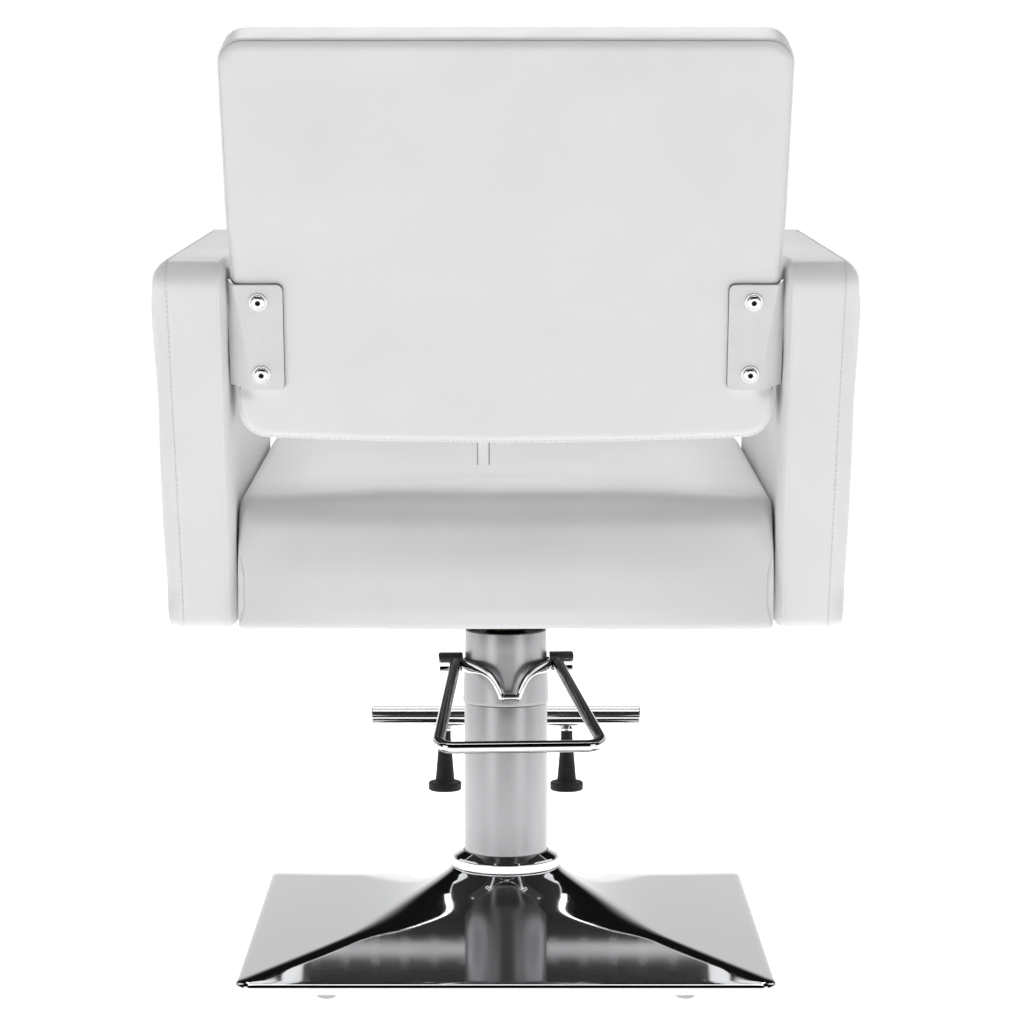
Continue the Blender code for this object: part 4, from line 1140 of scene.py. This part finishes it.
def make_pump():
    collar = [(0.0402, 0.0925), (0.0408, 0.0932), (0.0416, 0.0930), (0.0500, 0.0884), (0.0517, 0.0866),
              (0.0517, 0.0790), (0.0511, 0.0781), (0.0402, 0.0781), (0.0402, 0.0925)]
    turned_piece("neck_collar", collar, [0.0003, 0.0003, 0.0012, 0.0014, 0.0004, 0.0003, 0.0002], CHROME,
                 "base", "chrome", "pump_collar")
    tube = [(0.0372, 0.2376), (0.0372, 0.2380), (0.0400, 0.2380), (0.0400, 0.0252), (0.0372, 0.0252),
            (0.0372, 0.2376)]
    turned_piece("pump_tube_shell", tube, [0.0001, 0.0004, 0.0004, 0.0003], SATIN, "base", "satin_tube",
                 "pump_tube", steps=128)
    sleeve = [(0.0366, 0.3030), (0.0366, 0.3085), (0.0390, 0.3085), (0.0394, 0.2900), (0.0415, 0.2415),
              (0.0415, 0.2383), (0.0345, 0.2383), (0.0345, 0.3020), (0.0366, 0.3020), (0.0366, 0.3030)]
    turned_piece("pump_sleeve_shell", sleeve, [0.0005, 0.0009, 0.02, 0.0012, 0.0008, 0.0003, 0.0003, 0.0002],
                 SATIN, "base", "satin_tube", "pump_sleeve", steps=128)
    cap = [(0.0147, 0.3045), (0.0155, 0.3078), (0.0185, 0.3078), (0.0200, 0.3066), (0.0335, 0.3066),
           (0.0343, 0.3078), (0.0362, 0.3078), (0.0363, 0.3024), (0.0147, 0.3024), (0.0147, 0.3045)]
    turned_piece("sleeve_cap_ring", cap, [0.0003, 0.0004, 0.0003, 0.0003, 0.0003, 0.0003, 0.0002, 0.0002],
                 BLACK, "base", "black_plastic", "sleeve_cap")
    rod = [(0, 0.3330), (0.0120, 0.3330), (0.0120, 0.3080), (0.0140, 0.3080), (0.0140, 0.0600), (0, 0.0600)]
    turned_piece("ram_shaft", rod, [0.0008, 0.0002, 0.0004, 0.0005], CHROME, "ram", "chrome", "ram_rod")
    washer = [(0.0124, 0.3090), (0.0124, 0.3083), (0.0200, 0.3083), (0.0200, 0.3150), (0.0124, 0.3150),
              (0.0124, 0.3090)]
    turned_piece("thrust_washer_ring", washer, [0.0002, 0.0008, 0.0008, 0.0002], GREASED, "ram", "brass",
                 "thrust_washer")


PUMP_FRAME = Matrix.Rotation(PUMP_TURN, 4, "Z")


PIN_HALF = 0.0072                # half the length of the pin between the yoke's two arms


def yoke_arm(side, share):
    """Centre and half height of one arm of the yoke, from its eye (share 0) down to the pin (share 1)."""
    last = math.asin(PIN_HALF / 0.0430)
    angle = math.radians(84) * (1 - share) + last * share
    across = 0.0430 * math.sin(angle)
    drop = 0.0262 * max(0.0, 1 - (across - PIN_HALF) / 0.0355) ** 4.2
    half_height = 0.0058 - 0.0026 * smooth_step(share, 0.2, 0.95)
    return Vector((side * across, 0.0577 * math.cos(angle), PEDAL_Z - 0.001 - drop)), half_height


def make_yoke_arm(side):
    steps, corners = 60, 24
    centres = [yoke_arm(side, k / steps) for k in range(steps + 1)]

    def build(bm):
        loops = []
        for i, (spot, half_height) in enumerate(centres):
            along = (centres[min(i + 1, steps)][0] - centres[max(i - 1, 0)][0]).normalized()
            out = Vector((spot.x / 0.0430 ** 2, spot.y / 0.0555 ** 2, 0)).normalized()
            up = along.cross(out).normalized()
            if up.z < 0:
                up = -up
            loops.append([])
            for k in range(corners):
                a = 2 * math.pi * k / corners
                u, v = (math.copysign(abs(f) ** 0.6, f) for f in (math.cos(a), math.sin(a)))
                loops[-1].append(bm.verts.new(spot + out * u * 0.0020 + up * v * half_height))
        loft_rings(bm, loops)

    return new_piece("pedal_yoke_arm", mesh_of(build), CHROME, 40)


def cross_rod(name, profile, radii, steps, y, z):
    """A turned piece lying across the pump; its profile gives (radius, x)."""
    mesh = turned_mesh(rounded_profile(profile, radii), steps)
    mesh.transform(Matrix.Translation((0, y, z)) @ Matrix.Rotation(math.radians(90), 4, "Y"))
    mesh_outward(mesh)
    return new_piece(name, mesh, CHROME, 35)


def make_pedal():
    pieces = []
    for side in (-1, 1):
        pieces.append(make_yoke_arm(side))
        boss = [(0, side * 0.0655), (0.0093, side * 0.0655), (0.0093, side * 0.0418), (0, side * 0.0418)]
        pieces.append(cross_rod("pedal_boss", boss, [0.0024, 0.0008], 64, 0, PEDAL_Z))
        cheek = [(0, side * 0.0086), (0.0044, side * 0.0086), (0.0044, side * 0.0064), (0, side * 0.0064)]
        pieces.append(cross_rod("pin_cheek", cheek, [0.0006, 0.0004], 32, 0.0574, 0.2508))
    pin = [(0, -0.0078), (0.0031, -0.0078), (0.0031, 0.0078), (0, 0.0078)]
    pieces.append(cross_rod("pedal_pin", pin, [0.0004, 0.0004], 32, 0.0574, 0.2506))
    yoke = joined("pedal_yoke_forging", pieces)
    yoke.data.transform(PUMP_FRAME)
    keeps(yoke, "pedal", "chrome", "pedal_yoke")
    corners = [(0.0492, 0.0105, 0.2766), (0.0765, 0.1920, 0.2265), (-0.0765, 0.1920, 0.2265),
               (-0.0492, 0.0105, 0.2766)]
    loop = tube_mesh(bent_path(corners, [0.014, 0.014], 14, 10), 0.0056, 28, domed=0.0048)
    loop.transform(PUMP_FRAME)
    rod = new_piece("pedal_loop_rod", loop, CHROME, 50)
    keeps(rod, "pedal", "chrome", "pedal_loop")


# ---------------------------------------------------------------- under the seat

def make_dust_cloth():
    """The black cloth under the seat, its edge folded under and stapled round."""
    half_x, low_y, high_y, z = 0.2175, -0.2445, 0.2130, 0.3407

    def build(bm):
        columns, rows = 44, 46
        grid = []
        for i in range(columns + 1):
            x = half_x * (2 * i / columns - 1)
            grid.append([])
            for k in range(rows + 1):
                y = low_y + (high_y - low_y) * k / rows
                edge = min(half_x - abs(x), y - low_y, high_y - y)
                slack = 0.00018 * noise.noise(Vector((x * 22, y * 22, 0.4))) * min(1.0, edge / 0.02)
                fold = -0.0003 if edge < 0.011 else 0.0
                grid[-1].append(bm.verts.new((x, y, z + slack + fold)))
        for a, b in zip(grid, grid[1:]):
            for k in range(rows):
                bm.faces.new((a[k], b[k], b[k + 1], a[k + 1]))

    cloth = thickened(new_piece("seat_dust_cloth", mesh_of(build), LINING, 180), 0.0003)
    keeps(cloth, "seat", "lining", "seat_lining")
    step, inset, spots = 0.032, 0.006, []
    wide, long = half_x - inset, high_y - low_y - 2 * inset
    for i in range(int(2 * wide / step) + 1):
        spots += [(-wide + step * i, low_y + inset, 0.0), (-wide + step * i, high_y - inset, 0.0)]
    for i in range(1, int(long / step) + 1):
        spots += [(side * wide, low_y + inset + step * i, math.pi / 2) for side in (-1, 1)]
    keeps(row_of_staples(spots, z - 0.0008), "seat", "steel")


def row_of_staples(spots, z):
    """Wire staples lying flat at the given places, each turned to its own direction."""
    mesh = bpy.data.meshes.new("staple_places")
    mesh.from_pydata([(x, y, z) for x, y, _ in spots], [], [])
    turns = mesh.attributes.new("turn", "FLOAT", "POINT")
    turns.data.foreach_set("value", [turn for _, _, turn in spots])
    piece = new_piece("dust_cloth_staples", mesh, STEEL)
    return copied(piece, STAPLING, Crown=0.0095, Wire=0.0009, Metal=STEEL)


def make_seat_underside():
    make_dust_cloth()
    hub = [(0.0124, 0.3160), (0.0124, 0.3153), (0.0235, 0.3153), (0.0250, 0.3168), (0.0258, 0.3300),
           (0.0260, 0.3337), (0.0124, 0.3337), (0.0124, 0.3160)]
    turned_piece("seat_hub_casting", hub, [0.0003, 0.0010, 0.0010, 0.004, 0.0003, 0.0002], STEEL, "seat",
                 "steel", "seat_hub")

    def place(angle):
        spot = Vector((0.0262 * math.cos(angle), 0.0262 * math.sin(angle), 0.3330))
        return spot, 0.0017 + 0.00035 * math.sin(40 * angle)

    weld_bead("hub_weld_bead", STEEL, "steel", 120, place)


def weld_bead(name, material, slot, steps, place, around=8):
    """A ring of weld; place(angle) gives its centre there and its half width."""
    def build(bm):
        rings = []
        for angle in (2 * math.pi * i / steps for i in range(steps)):
            centre, size = place(angle)
            out = Vector((math.cos(angle), math.sin(angle), 0))
            rings.append([bm.verts.new(centre + out * size * math.cos(b) + Vector((0, 0, size * math.sin(b))))
                          for b in (2 * math.pi * k / around for k in range(around))])
        loft_rings(bm, rings + rings[:1], False)

    keeps(new_piece(name, mesh_of(build), material, 60), "seat", slot)


def make_footrest():
    bar_y, bar_z = -0.328, 0.1693
    corners = [(0, -0.101, 0.3172), (0, -0.262, 0.3172), (0, bar_y + 0.010, bar_z + 0.0150)]
    stem = bent_path(corners, [0.045], 24, 10)
    pipe = new_piece("footrest_stem_tube", tube_mesh(stem, 0.0125, 48), CHROME, 50)
    keeps(pipe, "seat", "chrome", "footrest_stem")
    half = 0.14325
    profile = [(0, half), (0.0110, half), (0.0110, -half), (0, -half)]
    keeps(cross_rod("footrest_crossbar", profile, [0.0016, 0.0016], 48, bar_y, bar_z), "seat", "chrome",
          "footrest_bar")

    def place(angle):
        """Round the stem where it meets the bar, down over the bar's curve."""
        x, past = 0.0128 * math.cos(angle), 0.0055 + 0.0125 * math.sin(angle)
        lift = math.sqrt(max(0.0, 0.0112 ** 2 - past ** 2))
        return Vector((x, bar_y + past, bar_z + max(lift, 0.002))), 0.0016 + 0.0003 * math.sin(26 * angle)

    weld_bead("footrest_weld_bead", CHROME, "chrome", 72, place)
    top = bar_z - 0.0110 - 0.0003
    for side, hand in ((1, "left"), (-1, "right")):
        spot = Matrix.Translation((side * 0.065, bar_y, 0))
        ferrule = [(0, top + 0.0020), (0.0072, top + 0.0020), (0.0082, top - 0.0010), (0.0082, top - 0.0032),
                   (0, top - 0.0032)]
        turned_piece(f"bumper_ferrule_{hand}_cup", ferrule, [0.0006, 0.0008, 0.0006], CHROME, "seat",
                     "chrome", f"bumper_ferrule_{hand}", steps=48, place=spot)
        low = 0.0902
        rubber = [(0, top - 0.0034), (0.0062, top - 0.0034), (0.0062, top - 0.0110), (0.0102, low + 0.0100),
                  (0.0165, low + 0.0090), (0.0175, low + 0.0078), (0.0175, low + 0.0012), (0.0163, low),
                  (0, low)]
        turned_piece(f"footrest_bumper_{hand}_rubber", rubber, [0.0004, 0.004, 0.0030] + [0.0008] * 4,
                     RUBBER, "seat", "rubber", f"footrest_bumper_{hand}", steps=64, place=spot)


# ---------------------------------------------------------------- CAD parts that stay

def hands(name):
    return f"{name}_left", f"{name}_right"


def finish_cad_parts():
    kept = {STEEL: ("base_plate", "pump_flange", "valve_block", "pump_plunger", "plunger_spring",
                    "ram_piston", "pump_lever", "footrest_socket", *hands("pedal_shaft"),
                    *(f"{kind}_bolt_{i}" for kind in ("flange", "mount") for i in (1, 2, 3, 4))),
            BRONZE: ("ram_bush",), RUBBER: ("piston_seal",), BLACK: ("footrest_screw", "seat_mount_plate"),
            PLYWOOD: ("seat_board", "back_board", *hands("arm_board"))}
    for material, nodes in kept.items():
        for node in nodes:
            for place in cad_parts[node].material_slots:
                place.material = material


# ---------------------------------------------------------------- the studio

def soft_box(name, centre, width, height, watts, target=(0, 0, 0.5)):
    light = bpy.data.lights.new(name, "AREA")
    light.shape = "RECTANGLE"
    light.size, light.size_y = width, height
    light.energy = watts
    lamp = bpy.data.objects.new(name, light)
    bpy.context.scene.collection.objects.link(lamp)
    lamp.location = centre
    lamp.rotation_euler = (Vector(target) - Vector(centre)).to_track_quat("-Z", "Y").to_euler()


def make_studio():
    world = bpy.data.worlds.new("white_studio")
    bpy.context.scene.world = world
    world.use_nodes = True
    tree = world.node_tree
    direction = tree.nodes.new("ShaderNodeTexCoord").outputs["Generated"]
    split = tree.nodes.new("ShaderNodeSeparateXYZ")
    tree.links.new(direction, split.inputs[0])
    parts = []
    # the wall behind the chair is bright, the room on the other side and the ceiling are darker
    for axis, first, last, bright, dim in (("Y", -0.1, 0.45, 1.0, 0.05), ("Z", 0.07, 0.20, 1.0, 0.62),
                                           ("Z", 0.20, 0.38, 1.0, 0.01)):
        fade = tree.nodes.new("ShaderNodeMapRange")
        fade.interpolation_type = "SMOOTHSTEP"
        for label, value in (("From Min", first), ("From Max", last), ("To Min", bright), ("To Max", dim)):
            fade.inputs[label].default_value = value
        tree.links.new(split.outputs[axis], fade.inputs["Value"])
        parts.append(fade.outputs["Result"])
    light = parts[0]
    for part in parts[1:]:
        both = tree.nodes.new("ShaderNodeMath")
        both.operation = "MULTIPLY"
        tree.links.new(light, both.inputs[0])
        tree.links.new(part, both.inputs[1])
        light = both.outputs[0]
    tree.links.new(light, tree.nodes["Background"].inputs["Color"])
    tree.nodes["Background"].inputs["Strength"].default_value = 1.02

    def slab(bm):
        bmesh.ops.create_circle(bm, cap_ends=True, segments=64, radius=30.0)

    floor = bpy.data.objects.new("studio_floor", mesh_of(slab))
    bpy.context.scene.collection.objects.link(floor)
    pale = Finish("pale_studio_floor", (0.93, 0.93, 0.93), 0.6, Emission_Color=(1, 1, 1, 1),
                  Emission_Strength=0.95)
    pale.colour_from(pale.clouds(1.5, 2.0), [(0.3, 0.925), (0.7, 0.94)])
    floor.data.materials.append(pale.material)
    for name, centre, width, height, watts in (("overhead", (0.0, 0.4, 3.2), 2.4, 1.6, 32),
                                               ("front", (0.0, -2.2, 2.6), 1.8, 1.2, 32),
                                               ("side_left", (2.2, 2.6, 0.9), 1.5, 2.2, 11.5),
                                               ("side_right", (-2.2, 2.6, 0.9), 1.5, 2.2, 10.5),
                                               ("front_left", (2.3, -1.5, 2.3), 1.4, 1.8, 7),
                                               ("front_right", (-2.3, -1.5, 2.3), 1.4, 1.8, 7)):
        soft_box(name, centre, width, height, watts)


def make_camera():
    camera = bpy.data.objects.new("camera", bpy.data.cameras.new("camera"))
    bpy.context.scene.collection.objects.link(camera)
    camera.data.lens = 116.5
    camera.data.sensor_width = 36.0
    camera.data.shift_x = 0.006
    camera.location = (0.0, 3.169, 0.742)
    camera.rotation_euler = (math.radians(84.23), 0.0, math.radians(180))
    bpy.context.scene.camera = camera
    bpy.context.scene.view_settings.view_transform = "Standard"


make_camera()
make_studio()
make_base_cover()
make_glides()
make_pump()
make_pedal()
make_seat_underside()
make_footrest()
make_seat()
make_arms()
make_back()
make_back_hardware()
make_tag()
finish_cad_parts()
